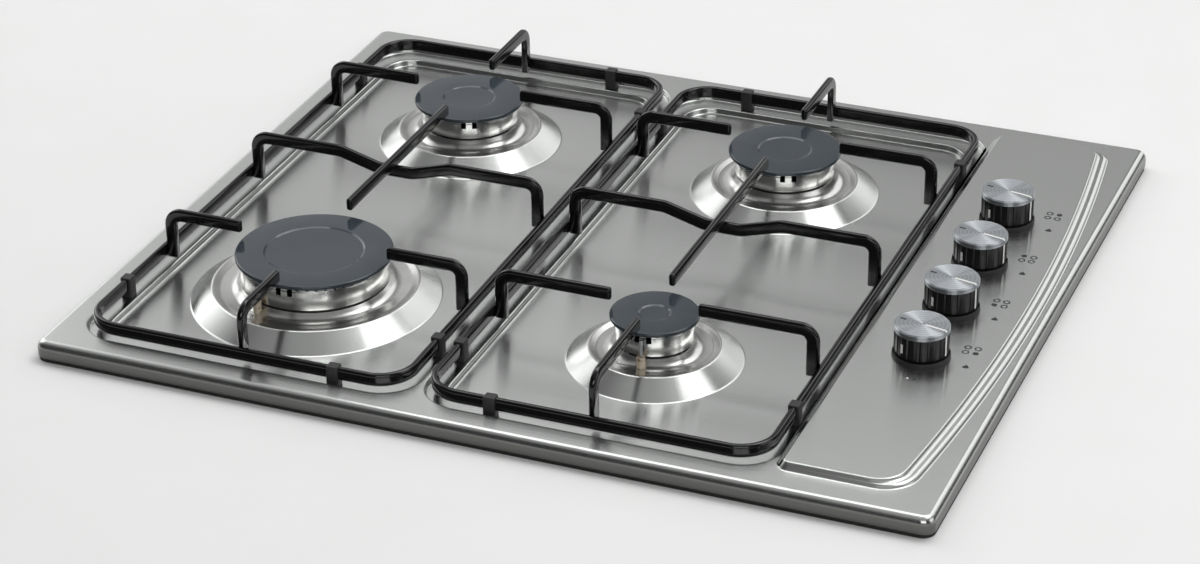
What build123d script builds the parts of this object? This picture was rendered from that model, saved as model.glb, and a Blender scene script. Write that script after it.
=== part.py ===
"""Built-in gas hob with four burners: a pressed steel top on a sheet case, two wire pan supports, four taps.

Millimetres. X runs along the front edge to the right, Y to the back and Z up. The origin is under the
middle of the case, at its underside.
"""
from build123d import *
import math
import os

# ---- steel top -----------------------------------------------------------------------------------
PANEL_LENGTH = 580.0
PANEL_WIDTH = 510.0
PANEL_CORNER = 8.0
PANEL_ROLL = 5.0  # radius of the rolled upper edge
SHEET = 0.8
SKIRT = 11.0  # height of the edge, from hem to rim
HEM = 6.0
SEAL_THICK = 2.0
SEAL_WIDTH = 6.0
SEAL_INSET = 0.5

# ---- case and worktop ----------------------------------------------------------------------------
CASE_DEPTH = 43.0  # below the worktop's upper face
PANEL_LAP = 10.0  # panel's edge beyond the worktop's cut-out
CUTOUT_GAP = 4.0
WORKTOP_THICK = 38.0
CASE_CORNER = 6.0
FLANGE = 8.0

WORKTOP_Z = CASE_DEPTH
HEM_Z = WORKTOP_Z + SEAL_THICK
RIM_Z = HEM_Z + SKIRT
CASE_LENGTH = PANEL_LENGTH - 2 * PANEL_LAP - 2 * CUTOUT_GAP
CASE_WIDTH = PANEL_WIDTH - 2 * PANEL_LAP - 2 * CUTOUT_GAP
FLANGE_Z = RIM_Z - SHEET  # the case hangs against the underside of the rim

# ---- control field: a plateau of two steps -------------------------------------------------------
PLATEAU_HEIGHT = 4.0
PLATEAU_WIDTH = 95.0  # across the middle, with both steps
PLATEAU_TO_SIDE = 7.5  # bowed side to the panel's edge
PLATEAU_TO_FRONT = 22.0
PLATEAU_TO_BACK = 18.0
PLATEAU_BOW = 1800.0  # radius of the bowed side
PLATEAU_SHELF = 4.2  # width of the step half way up the bowed side
PLATEAU_CORNERS = (8.0, 22.0, 15.0, 8.0)
PLATEAU_Z = RIM_Z + PLATEAU_HEIGHT
PLATEAU_RIGHT = PANEL_LENGTH / 2 - PLATEAU_TO_SIDE
PLATEAU_LEFT = PLATEAU_RIGHT - PLATEAU_WIDTH
PLATEAU_FRONT = PLATEAU_TO_FRONT - PANEL_WIDTH / 2
PLATEAU_BACK = PANEL_WIDTH / 2 - PLATEAU_TO_BACK

# ---- wells under the pan supports ----------------------------------------------------------------
WELL_TO_SIDE = 17.5  # left well to the panel's edge
WELL_TO_FRONT = 19.3
WELL_TO_BACK = 23.3
WELL_DIVIDER = 3.9
WELL_TO_PLATEAU = 1.3
WELL_CORNER = 26.0
WELL_EDGE = 1.2
LEDGE_DEPTH = 4.0
LEDGE_WIDTH = 12.4
LEDGE_CORNER = 20.0
WELL_DEPTH = 8.0
FLOOR_Z = RIM_Z - WELL_DEPTH
LEDGE_Z = RIM_Z - LEDGE_DEPTH
WELLS_LEFT = WELL_TO_SIDE - PANEL_LENGTH / 2
WELLS_RIGHT = PLATEAU_LEFT - WELL_TO_PLATEAU
WELL_LENGTH = (WELLS_RIGHT - WELLS_LEFT - WELL_DIVIDER) / 2
WELL_WIDTH = PANEL_WIDTH - WELL_TO_FRONT - WELL_TO_BACK
WELL_X = {"left": WELLS_LEFT + WELL_LENGTH / 2, "right": WELLS_RIGHT - WELL_LENGTH / 2}
WELL_Y = (WELL_TO_FRONT - WELL_TO_BACK) / 2

# ---- burners: sizes, and heights over the rim ----------------------------------------------------
BURNER_TO_END = 111.7  # burner's axis to the nearer end of its well
BURNER_PITCH = WELL_WIDTH - 2 * BURNER_TO_END
LARGE_CROWN = 47.5
MEDIUM_CROWN = 33.3
SMALL_CROWN = 24.2
CROWN = {"large": LARGE_CROWN, "medium": MEDIUM_CROWN, "small": SMALL_CROWN}
CAP_OVERHANG = {"large": 3.0, "medium": 4.5, "small": 3.8}
CAP = {size: CROWN[size] + CAP_OVERHANG[size] for size in CROWN}
DOME_BEYOND = {"large": 18.5, "medium": 15.7, "small": 16.8}  # crown's edge to the dome's ridge
DOME = {size: CROWN[size] + DOME_BEYOND[size] for size in CROWN}
CROWN_FOOT = {"large": 6.0, "medium": 8.0, "small": 6.5}
CROWN_TOP = 22.0
CROWN_WALL = 3.0
CROWN_FLOOR = 2.5
LIP_DROP = 3.4  # crown's top to the shoulder under its ports
LIP_STEP = 0.45
LOCATING_SKIRT = 5.0  # depth of the crown's skirt in the neck
LOCATING_WALL = 2.0
CAP_THICK = 2.4
CAP_EDGE = 1.1
CAP_DISH_DEPTH = 0.5
CAP_DISH = {"large": 31.0, "medium": 17.0, "small": 9.0}
LUG_THICK = 1.5
LUG_CLEAR = 0.8
LUG_WIDTH = 8.0
LUG_DEPTH = 3.0
LUG_TURNS = (30, 150, 270)
DOME_RISE = 2.3
DOME_SLOPE = 14.3  # plan width of the dome's outer slope
DOME_ROUND = 4.0
DISH_LEVEL = 0.3
DISH_MARGIN = 3.0  # flat seat beyond the crown
NECK_INSET = 7.0  # crown's edge to the outside of the neck it sits on
NECK_WALL = 1.8
NECK_GAP = 0.3
SCREW_INSET = 3.6  # crown's edge to the burner screws
SCREW_RADIUS = 2.0
SCREW_HEAD = 2.6
SCREW_TAIL = 2.0  # screw's end below the cup's flange
CUP_FLANGE = 2.5
CUP_FLANGE_INSET = 0.8
EAR_REACH = 8.4  # the electrode's near side to the end of the ear that holds it
EAR_HALF = 5.6
THROAT_OUTER = 14.0
THROAT_INNER = 11.2
THROAT_WINDOW = 10.0
THROAT_SILL = 8.0
THROAT_LINTEL = 3.0
VENTURI_OUTER = 10.0
VENTURI_BORE = 7.0
VENTURI_DROP = 8.0  # below the rim
VENTURI_HEAD = 5.0  # crown's top to the venturi's end
PORT_WIDTH = 1.6
PORT_DEPTH = 2.0
PORT_PITCH = 6.0
WINDOW_HEIGHT = 6.5
WINDOW_SLOT = 3.4
WINDOW_POST = 4.2
WINDOW_ANGLE = {"front_left": -88.0, "rear_left": -67.0, "rear_right": -67.0, "front_right": -87.0}
ELECTRODE_ANGLE = {"front_left": -110.0, "rear_left": 75.0, "rear_right": 75.0, "front_right": -87.0}
CERAMIC_RADIUS = 2.8
CERAMIC_COLLAR = 1.2
CERAMIC_TAIL = 10.0
COLLAR_HEIGHT = 3.0
ELECTRODE_GAP = 0.4  # crown's edge to the ceramic
CERAMIC_TOP = {"large": 10.0, "medium": 10.0, "small": 8.0}
PIN_RADIUS = 1.1
PIN_TOP = 19.5
PIN_TAIL = 14.0  # pin's end below the ear

# ---- pan supports --------------------------------------------------------------------------------
BAR_DEPTH = 8.5
BAR_THICK = 4.4
BAR_CHAMFER = 1.2
RAIL_INSET = 5.7  # well's edge to the rail's centre line
RAIL_CORNER = 22.0
RAIL_CLEAR = 0.8  # over the rim
RAIL_LENGTH = WELL_LENGTH - 2 * RAIL_INSET
RAIL_WIDTH = WELL_WIDTH - 2 * RAIL_INSET
FINGER_TOP = 36.0  # over the rim
FINGER_BEND = 12.0  # outside of the bend
WELD_SINK = 0.6
WELD_RISE = 0.5  # rail's underside to the end of a leg
TIP_GAP = 0.6  # burner cap to finger tip
DIP_FLAT = 12.0  # middle of a support to where its cross bar leaves the level of the dip
DIP_KINK = 40.0  # middle of a support to where the cross bar is back at its full height
DIP_BEND = 14.0  # centre line of the cross bar's shallow bends
FOOT_LENGTH = 8.0
FOOT_WALL = 1.5
FOOT_TO_SIDE = 44.0  # rail's side to the feet on its front and back runs
FOOT_TO_END = 56.0  # rail's end to the feet on its side runs

# ---- knobs ---------------------------------------------------------------------------------------
KNOB_TO_SIDE = 52.5  # knobs' axes to the plateau's bowed side
KNOB_PITCH = 63.9
KNOB_ROW_SHIFT = 11.9  # middle of the row, behind the plateau's middle
KNOB_SKIRT = 16.6
KNOB_RIBS = 24
RIB_WIDTH = 1.3
RIB_HEIGHT = 0.3
RIB_ROOT = 1.0
KNOB_FACE = 17.3
KNOB_FACE_DEPTH = 3.7
KNOB_TOP = 26.0  # over the rim
KNOB_WALL = 2.2
KNOB_HUB_WALL = 2.2
KNOB_CLEAR = 0.5  # under a knob that is pushed in
KNOB_TRAVEL = 2.5
FACE_SHEET = 0.8
FACE_WALL = 1.3
POINTER_WIDTH = 1.3
POINTER_DEPTH = 0.35
POINTER_START = 2.0
SEAL_RING = 18.2
SEAL_RING_WALL = 1.0
SEAL_RING_HEIGHT = 3.0
SEAL_FLOOR = 0.6
SEAL_STEM_GAP = 1.0
STEM_HOLE = 7.5
KNOB_X = PLATEAU_RIGHT - KNOB_TO_SIDE
KNOB_LINE_Y = (PLATEAU_FRONT + PLATEAU_BACK) / 2 + KNOB_ROW_SHIFT
KNOB_LOW = PLATEAU_Z + SEAL_FLOOR + KNOB_CLEAR + KNOB_TRAVEL

# ---- taps ----------------------------------------------------------------------------------------
GAS_DROP = 29.0  # rim to the gas line that manifold, taps and burners share
GAS_Z = RIM_Z - GAS_DROP
TAP_RADIUS = 11.0
TAP_SADDLE = 9.0
TAP_DROP = 18.0  # plateau to the tap body's top
TAP_FOOT = 13.0  # gas line to the tap body's underside
TAP_TOP_Z = PLATEAU_Z - TAP_DROP
TAP_COVER = 1.5
TAP_COVER_LENGTH = 32.0
TAP_COVER_CORNER = 5.0
TAP_COVER_SHIFT = 5.0
PLUG_RADIUS = 6.0
PLUG_FIT = 0.05
PLUG_END_GAP = 0.2
PLUG_HEAD_GAP = 0.3
PLUG_DEPTH = 9.0  # gas line to the bottom of the plug's bore
STEM_RADIUS = 4.0
STEM_FLAT = 2.9
STEM_FIT = 0.05
STEM_HEAD = 5.0  # stem's end to the underside of the knob's boss
COLLAR_RADIUS = 7.5
COLLAR_THICK = 1.2
SLOT_WIDTH = 3.4
TONGUE_FIT = 0.2
TONGUE_HEIGHT = 4.0
SPRING_RADIUS = 5.4
SPRING_WIRE = 0.8
SPRING_TURNS = 3.0
SPRING_LENGTH = 9.5
COLLAR_Z = TAP_TOP_Z + TAP_COVER + SPRING_LENGTH
STEM_TOP_Z = RIM_Z + KNOB_TOP - FACE_SHEET - STEM_HEAD
SWITCH_LENGTH = 12.0
SWITCH_NEAR = 9.5
SWITCH_FAR = 20.0
LEVER_THICK = 0.5
LEVER_HALF = 2.0
LEVER_NEAR = 6.6
LEVER_FAR = 18.0
LEVER_GAP = 0.3  # a pushed collar to the lever

# ---- gas ways ------------------------------------------------------------------------------------
MANIFOLD_OFFSET = 26.0  # taps' axes to the manifold's
MANIFOLD_RADIUS = 8.0
MANIFOLD_BORE = 6.5
MANIFOLD_END = 28.0  # beyond the first tap
MANIFOLD_PLUG = 3.0
OUTLET_REACH = 19.0
BOSS_RADIUS = 6.0
WAY_RADIUS = 2.0
PIPE_RADIUS = 3.5
PIPE_BEND = 25.0
PIPE_ROUND = 15.0
NUT_FLATS = 14.0
NUT_LENGTH = 7.0
BURNER_BOSS = 26.0  # burner axis to the end of its inlet boss
INLET_TO_WALL = 26.0
INLET_RADIUS = 13.0
INLET_BOSS = 10.5
INLET_THREAD = 9.3  # bore of a half-inch parallel pipe thread
INLET_THREAD_LENGTH = 15.0
INLET_SOCKET = 8.0  # depth of the manifold's end in the elbow
INLET_WAY = 7.5
INLET_STEP = 15.0  # inlet's axis to the manifold's end
HOLE_GAP = 0.3
SADDLE_HALF = 10.0
SADDLE_LENGTH = 12.0
SADDLE_FRONT = 8.0  # manifold's front end to the first saddle
SADDLE_BACK = 30.0
JET_FLATS = 8.0
JET_HEX = 4.0
JET_TIP = 4.0
JET_RADIUS = 2.6
JET_BORE = 0.6
MANIFOLD_X = KNOB_X + MANIFOLD_OFFSET
INLET_Y = CASE_WIDTH / 2 - INLET_TO_WALL
MANIFOLD_BACK = INLET_Y - INLET_STEP
THROAT_FLOOR_Z = GAS_Z + JET_HEX
CUP_BASE_Z = GAS_Z - NUT_FLATS / 2

# ---- fixings -------------------------------------------------------------------------------------
STUD_RADIUS = 2.0
STUD_LENGTH = 8.0
STUD_TO_END = 60.0  # panel's corner to the studs on its side edges
STUD_TO_SIDE = 150.0  # panel's corner to the studs on its front and back edges
CASE_NUT_FLATS = 7.0
CASE_NUT_HEIGHT = 3.2
CASE_NUT_GAP = 0.3
CLAMP_TO_END = 91.0  # case's end to the clamps
CLAMP_WIDTH = 20.0
CLAMP_STRIP = 1.5
CLAMP_REACH = 13.0
CLAMP_DROP = 13.0  # worktop's face to the clamp's upper end
CLAMP_SCREW_DROP = 22.0
CLAMP_SCREW_HEAD = 3.4
CLAMP_HEAD_THICK = 2.0
CLAMP_SCREW_LENGTH = 7.0
CLAMP_SCREW_Z = WORKTOP_Z - CLAMP_SCREW_DROP
STUD_OUT = CASE_NUT_FLATS / math.sqrt(3) + CASE_NUT_GAP  # case's wall to the studs
WALL_THROUGH = 3.0  # how far a drill runs to each side of a wall

# ---- electrics -----------------------------------------------------------------------------------
MODULE_LENGTH = 70.0
MODULE_WIDTH = 38.0
MODULE_HEIGHT = 21.0
MODULE_CORNER = 3.0
TAB_SPREAD = 20.0
TAB_WIDTH = 5.0
TAB_REACH = 4.0
TAB_LOW = 8.0
TAB_HIGH = 14.0
TERMINAL_LENGTH = 36.0
TERMINAL_WIDTH = 20.0
TERMINAL_HEIGHT = 16.0
TERMINAL_POLES = 3
POLE_RADIUS = 3.0
POLE_DEPTH = 6.0
POLE_SHIFT = 4.0
TERMINAL_TO_KNOBS = 80.0
ENTRY_TO_WALL = 29.0  # terminals and gland to the case's back wall
GLAND_TO_KNOBS = 34.0
GLAND_RADIUS = 8.0
GLAND_BORE = 3.5
GLAND_LIP = 2.5
GLAND_LIP_TOP = 3.5
GLAND_TOP = 6.0
LEAD_RADIUS = 1.6
LEAD_Z = 11.0
LEAD_RUN = 22.0
LEAD_BEND = 10.0
VENT_LENGTH = 40.0
VENT_SLOT = 4.0
VENT_PITCH = 12.0
VENT_ROWS = 4

CUT = 1.0  # how far a cutting tool runs past the face that it cuts
COLUMNS = ("left", "right")
BURNERS = {
    "front_left": ("large", "left", -1),
    "rear_left": ("medium", "left", 1),
    "rear_right": ("medium", "right", 1),
    "front_right": ("small", "right", -1),
}
KNOB_ORDER = ("front_right", "front_left", "rear_left", "rear_right")  # front to back
MODULE_PLACE = ((WELL_X["left"] + WELL_X["right"]) / 2, WELL_Y)
TERMINAL_PLACE = (KNOB_X - TERMINAL_TO_KNOBS, CASE_WIDTH / 2 - ENTRY_TO_WALL)
GLAND_PLACE = (KNOB_X - GLAND_TO_KNOBS, CASE_WIDTH / 2 - ENTRY_TO_WALL)


def burner_place(burner):
    size, column, side = BURNERS[burner]
    return WELL_X[column], WELL_Y + side * BURNER_PITCH / 2


def knob_y(burner):
    return KNOB_LINE_Y + (KNOB_ORDER.index(burner) - (len(KNOB_ORDER) - 1) / 2) * KNOB_PITCH


def polar(centre, radius, angle):
    turn = math.radians(angle)
    return centre[0] + radius * math.cos(turn), centre[1] + radius * math.sin(turn)


def rounded_plate(length, width, corner, low, high, centre=(0, 0)):
    return extrude(Pos(centre[0], centre[1], low) * RectangleRounded(length, width, corner), high - low)


def disc(radius, low, high, centre=(0, 0)):
    upright = Cylinder(radius, high - low, align=(Align.CENTER, Align.CENTER, Align.MIN))
    return Pos(centre[0], centre[1], low) * upright


def ring(outer, inner, low, high, centre=(0, 0)):
    return disc(outer, low, high, centre) - disc(inner, low - CUT, high + CUT, centre)


def block(x_low, x_high, y_low, y_high, z_low, z_high):
    return Pos(x_low, y_low, z_low) * Box(
        x_high - x_low, y_high - y_low, z_high - z_low, align=(Align.MIN, Align.MIN, Align.MIN)
    )


def rod_along(direction, start, end, radius):
    """A round bar between two points, with its section square to direction."""
    return extrude(Plane(origin=start, z_dir=direction) * Circle(radius), math.dist(start, end))


def turned(points, centre, rounds=()):
    """Revolved about a vertical axis: points are (radius, height), rounds are (index, radius)."""
    outline = Polyline(*[(r, z) for r, z in points], close=True)
    face = make_face(outline)
    for index, radius in rounds:
        corner = face.vertices().sort_by_distance((points[index][0], points[index][1], 0))[0]
        face = fillet(corner, radius)
    standing = Plane.XZ * face
    return Pos(centre[0], centre[1], 0) * revolve(standing, Axis.Z)


def save(name, *solids):
    shape = solids[0] if len(solids) == 1 else Compound(children=list(solids))
    shape.label = name
    export_step(shape, f"parts/{name}.step")


# ---- steel top -----------------------------------------------------------------------------------
def plateau_outline(inset, right, z):
    """Straight left, front and back sides and a bowed right one, with four corner radii."""
    left, front, back = PLATEAU_LEFT + inset, PLATEAU_FRONT + inset, PLATEAU_BACK - inset
    side = right - inset
    half = (back - front) / 2
    sag = PLATEAU_BOW - math.sqrt(PLATEAU_BOW**2 - half**2)
    bow = ThreePointArc((side - sag, front), (side, (front + back) / 2), (side - sag, back))
    lines = Polyline((side - sag, back), (left, back), (left, front), (side - sag, front))
    face = make_face([bow, lines])
    corners = ((left, front), (side - sag, front), (side - sag, back), (left, back))
    for place, radius in zip(corners, PLATEAU_CORNERS):
        corner = face.vertices().sort_by_distance((place[0], place[1], 0))[0]
        face = fillet(corner, radius - inset)
    return Pos(0, 0, z) * face


def plateau(drop, low):
    """Two tapered steps: the upper one stands back from the bowed side by the shelf."""
    step = PLATEAU_HEIGHT / 2
    base = RIM_Z - drop
    foot = extrude(plateau_outline(drop, PLATEAU_RIGHT, low), base - low)
    lower = extrude(plateau_outline(drop, PLATEAU_RIGHT, base), step, taper=45)
    upper = extrude(plateau_outline(drop + step, PLATEAU_RIGHT - PLATEAU_SHELF, base + step), step, taper=45)
    return foot + lower + upper


def dome(burner, drop):
    size = BURNERS[burner][0]
    ridge, seat = DOME[size], CROWN[size] + DISH_MARGIN
    floor = FLOOR_Z - drop
    points = [
        (0, floor - CUT),
        (ridge + DOME_SLOPE, floor - CUT),
        (ridge + DOME_SLOPE, floor),
        (ridge, RIM_Z + DOME_RISE - drop),
        (seat, RIM_Z + DISH_LEVEL - drop),
        (0, RIM_Z + DISH_LEVEL - drop),
    ]
    return turned(points, burner_place(burner), [(3, DOME_ROUND)])


def pressed_form(drop):
    """Everything under the panel's surface, or under its inner face when drop is the sheet's thickness."""
    low = HEM_Z + drop
    form = rounded_plate(
        PANEL_LENGTH - 2 * drop, PANEL_WIDTH - 2 * drop, PANEL_CORNER - drop, low, RIM_Z - drop
    )
    form = fillet(form.faces().sort_by(Axis.Z)[-1].edges(), PANEL_ROLL - drop)
    for column in COLUMNS:
        centre = (WELL_X[column], WELL_Y)
        well = rounded_plate(
            WELL_LENGTH + 2 * drop,
            WELL_WIDTH + 2 * drop,
            WELL_CORNER + drop,
            LEDGE_Z - drop,
            RIM_Z + CUT,
            centre,
        )
        floor = rounded_plate(
            WELL_LENGTH - 2 * LEDGE_WIDTH + 2 * drop,
            WELL_WIDTH - 2 * LEDGE_WIDTH + 2 * drop,
            LEDGE_CORNER + drop,
            FLOOR_Z - drop,
            RIM_Z + CUT,
            centre,
        )
        form -= well + floor
    rim = form.faces().sort_by(Axis.Z)[-1]
    form = fillet(rim.inner_wires().edges(), WELL_EDGE - drop)
    form += plateau(drop, low)
    for burner in BURNERS:
        form += dome(burner, drop)
    return form


def stud_places():
    side = CASE_LENGTH / 2 + STUD_OUT
    end = CASE_WIDTH / 2 + STUD_OUT
    along_side = PANEL_WIDTH / 2 - STUD_TO_END
    along_end = PANEL_LENGTH / 2 - STUD_TO_SIDE
    sides = [(x, y) for x in (-side, side) for y in (-along_side, along_side)]
    ends = [(x, y) for x in (-along_end, along_end) for y in (-end, end)]
    return sides + ends


def screw_places(burner):
    centre = burner_place(burner)
    radius = CROWN[BURNERS[burner][0]] - SCREW_INSET
    return [polar(centre, radius, ELECTRODE_ANGLE[burner] + turn) for turn in (90, 270)]


def electrode_place(burner):
    radius = CROWN[BURNERS[burner][0]] + ELECTRODE_GAP + CERAMIC_RADIUS
    return polar(burner_place(burner), radius, ELECTRODE_ANGLE[burner])


def neck_radius(burner):
    return CROWN[BURNERS[burner][0]] - NECK_INSET


def top_panel():
    panel = pressed_form(0) - pressed_form(SHEET)
    panel -= rounded_plate(
        PANEL_LENGTH - 2 * HEM, PANEL_WIDTH - 2 * HEM, PANEL_CORNER - PANEL_ROLL, HEM_Z - CUT, HEM_Z + SHEET
    )
    for x, y in stud_places():
        panel += disc(STUD_RADIUS, FLANGE_Z - STUD_LENGTH, FLANGE_Z, (x, y))
    above, below = PLATEAU_Z + CUT, FLOOR_Z - SHEET
    for burner in BURNERS:
        panel -= disc(neck_radius(burner) + HOLE_GAP, below, above, burner_place(burner))
        panel -= disc(CERAMIC_RADIUS + HOLE_GAP, below, above, electrode_place(burner))
        panel -= disc(STEM_HOLE, below, above, (KNOB_X, knob_y(burner)))
        for place in screw_places(burner):
            panel -= disc(SCREW_RADIUS + HOLE_GAP, below, above, place)
    return panel


def edge_seal():
    outer = SEAL_INSET * 2
    inner = outer + 2 * SEAL_WIDTH
    strip = rounded_plate(PANEL_LENGTH - outer, PANEL_WIDTH - outer, PANEL_CORNER, WORKTOP_Z, HEM_Z)
    return strip - rounded_plate(
        PANEL_LENGTH - inner, PANEL_WIDTH - inner, PANEL_CORNER - SEAL_INSET, WORKTOP_Z - CUT, HEM_Z + CUT
    )


# ---- case ----------------------------------------------------------------------------------------
def clamp_places():
    along = CASE_WIDTH / 2 - CLAMP_TO_END
    return [(side, y) for side in (-1, 1) for y in (-along, along)]


def wall_drill(side, y):
    """The clamp screw's hole through the side wall and the strip on it."""
    wall = side * CASE_LENGTH / 2
    start = (wall - WALL_THROUGH, y, CLAMP_SCREW_Z)
    return rod_along((1, 0, 0), start, (wall + WALL_THROUGH, y, CLAMP_SCREW_Z), STUD_RADIUS + STEM_FIT)


def bottom_case():
    case = rounded_plate(CASE_LENGTH, CASE_WIDTH, CASE_CORNER, 0, FLANGE_Z)
    flange = rounded_plate(
        CASE_LENGTH + 2 * FLANGE, CASE_WIDTH + 2 * FLANGE, CASE_CORNER + FLANGE, FLANGE_Z - SHEET, FLANGE_Z
    )
    case = case + flange - rounded_plate(
        CASE_LENGTH - 2 * SHEET, CASE_WIDTH - 2 * SHEET, CASE_CORNER - SHEET, SHEET, FLANGE_Z + CUT
    )
    for x, y in stud_places():
        case -= disc(STUD_RADIUS + HOLE_GAP, FLANGE_Z - 2 * SHEET, FLANGE_Z + CUT, (x, y))
    for side, y in clamp_places():
        case -= wall_drill(side, y)
    case -= disc(INLET_RADIUS + HOLE_GAP, -CUT, SHEET + CUT, (MANIFOLD_X, INLET_Y))
    case -= disc(GLAND_RADIUS + STEM_FIT, -CUT, SHEET + CUT, GLAND_PLACE)
    for saddle in manifold_saddles():
        case += saddle
    for burner in BURNERS:
        x, y = burner_place(burner)
        for row in range(VENT_ROWS):
            across = (row - (VENT_ROWS - 1) / 2) * VENT_PITCH
            slot = Pos(x, y + across, -CUT) * SlotOverall(VENT_LENGTH, VENT_SLOT)
            case -= extrude(slot, SHEET + 2 * CUT)
    return case


def worktop_clamps():
    """A bent strip on each side wall: the leg is screwed to the case, the arm grips under the worktop."""
    clamps = []
    arm_top = WORKTOP_Z - WORKTOP_THICK
    leg_top = WORKTOP_Z - CLAMP_DROP
    for side, y in clamp_places():
        wall = side * CASE_LENGTH / 2
        outline = Polyline(
            (wall, arm_top - CLAMP_STRIP),
            (wall + side * CLAMP_REACH, arm_top - CLAMP_STRIP),
            (wall + side * CLAMP_REACH, arm_top),
            (wall + side * CLAMP_STRIP, arm_top),
            (wall + side * CLAMP_STRIP, leg_top),
            (wall, leg_top),
            close=True,
        )
        strip = extrude(Plane.XZ.offset(-y) * make_face(outline), CLAMP_WIDTH / 2, both=True)
        clamps.append(strip - wall_drill(side, y))
    return clamps


def clamp_screws():
    screws = []
    for side, y in clamp_places():
        seat = side * (CASE_LENGTH / 2 + CLAMP_STRIP)
        out = (side, 0, 0)
        face = (seat, y, CLAMP_SCREW_Z)
        crest = (seat + side * CLAMP_HEAD_THICK, y, CLAMP_SCREW_Z)
        tail = (seat - side * CLAMP_SCREW_LENGTH, y, CLAMP_SCREW_Z)
        head = rod_along(out, face, crest, CLAMP_SCREW_HEAD)
        shank = rod_along(out, tail, face, STUD_RADIUS)
        screws.append(head + shank)
    return screws


def hex_nut(flats, height, bore, centre, low):
    outline = RegularPolygon(flats / 2, 6, major_radius=False)
    prism = extrude(Pos(centre[0], centre[1], low) * outline, height)
    return prism - disc(bore, low - CUT, low + height + CUT, centre)


def case_nuts():
    low = FLANGE_Z - SHEET - CASE_NUT_HEIGHT
    bore = STUD_RADIUS + STEM_FIT
    return [hex_nut(CASE_NUT_FLATS, CASE_NUT_HEIGHT, bore, place, low) for place in stud_places()]


# ---- burners -------------------------------------------------------------------------------------
def burner_cup(burner):
    """Cast cup: a flange under the panel, the neck that carries the crown and a throat with air windows."""
    size = BURNERS[burner][0]
    centre = burner_place(burner)
    x, y = centre
    crown, neck = CROWN[size], neck_radius(burner)
    seat = RIM_Z + DISH_LEVEL - SHEET
    low = seat - CUP_FLANGE
    top = RIM_Z + CROWN_FOOT[size]
    cup = disc(crown - CUP_FLANGE_INSET, low, seat, centre) + disc(neck, low, top, centre)
    cup -= disc(neck - NECK_WALL, seat - CUT, top + CUT, centre)
    cup += disc(THROAT_OUTER, CUP_BASE_Z, low + CUT, centre)
    cup += rod_along((1, 0, 0), (x, y, GAS_Z), (x + BURNER_BOSS, y, GAS_Z), BOSS_RADIUS)
    ear_turn = Pos(x, y, 0) * Rot(0, 0, ELECTRODE_ANGLE[burner])
    ear_end = crown + ELECTRODE_GAP + EAR_REACH
    cup += ear_turn * block(neck - CUT, ear_end, -EAR_HALF, EAR_HALF, low, seat)
    cup -= disc(THROAT_INNER, THROAT_FLOOR_Z, top, centre)
    cup -= rod_along((1, 0, 0), (x, y, GAS_Z), (x + BURNER_BOSS + CUT, y, GAS_Z), WAY_RADIUS)
    cup -= disc(WAY_RADIUS, GAS_Z, THROAT_FLOOR_Z + CUT, centre)
    half = THROAT_WINDOW / 2
    for turn in (45, 225):
        window = block(0, THROAT_OUTER + CUT, -half, half, THROAT_FLOOR_Z + THROAT_SILL, low - THROAT_LINTEL)
        cup -= Pos(x, y, 0) * Rot(0, 0, turn) * window
    cup -= disc(CERAMIC_RADIUS + STEM_FIT, low - CUT, seat + CUT, electrode_place(burner))
    for place in screw_places(burner):
        cup -= disc(SCREW_RADIUS + STEM_FIT, low - CUT, seat + CUT, place)
    return cup


def burner_screws():
    screws = []
    for burner in BURNERS:
        seat = RIM_Z + DISH_LEVEL
        for place in screw_places(burner):
            head = disc(SCREW_HEAD, seat, seat + SCREW_RADIUS, place)
            screws.append(head + disc(SCREW_RADIUS, seat - SHEET - CUP_FLANGE - SCREW_TAIL, seat, place))
    return screws


def injectors():
    jets = []
    for burner in BURNERS:
        centre = burner_place(burner)
        hexagon = hex_nut(JET_FLATS, JET_HEX, JET_BORE, centre, THROAT_FLOOR_Z)
        tip_low = THROAT_FLOOR_Z + JET_HEX
        jets.append(hexagon + ring(JET_RADIUS, JET_BORE, tip_low, tip_low + JET_TIP, centre))
    return jets


def crown_window(burner):
    """The two slots beside the ignition post, cut through the crown's wall from its top."""
    size = BURNERS[burner][0]
    top = RIM_Z + CROWN_TOP
    x, y = burner_place(burner)
    turn = Pos(x, y, 0) * Rot(0, 0, WINDOW_ANGLE[burner])
    slots = []
    for side in (-1, 1):
        middle = side * (WINDOW_POST + WINDOW_SLOT) / 2
        slot = block(
            CROWN[size] - CROWN_WALL - CUT,
            CROWN[size] + CUT,
            middle - WINDOW_SLOT / 2,
            middle + WINDOW_SLOT / 2,
            top - WINDOW_HEIGHT,
            top + CUT,
        )
        slots.append(turn * slot)
    return slots


def port_angles(burner):
    """Evenly spaced flame ports, left out where the ignition window is."""
    crown = CROWN[BURNERS[burner][0]]
    count = round(2 * math.pi * crown / PORT_PITCH)
    half_window = math.degrees((WINDOW_POST / 2 + WINDOW_SLOT + PORT_WIDTH) / crown)
    angles = []
    for port in range(count):
        angle = (port + 0.5) * 360 / count
        if half_window < angle < 360 - half_window:
            angles.append(angle + WINDOW_ANGLE[burner])
    return angles


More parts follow.
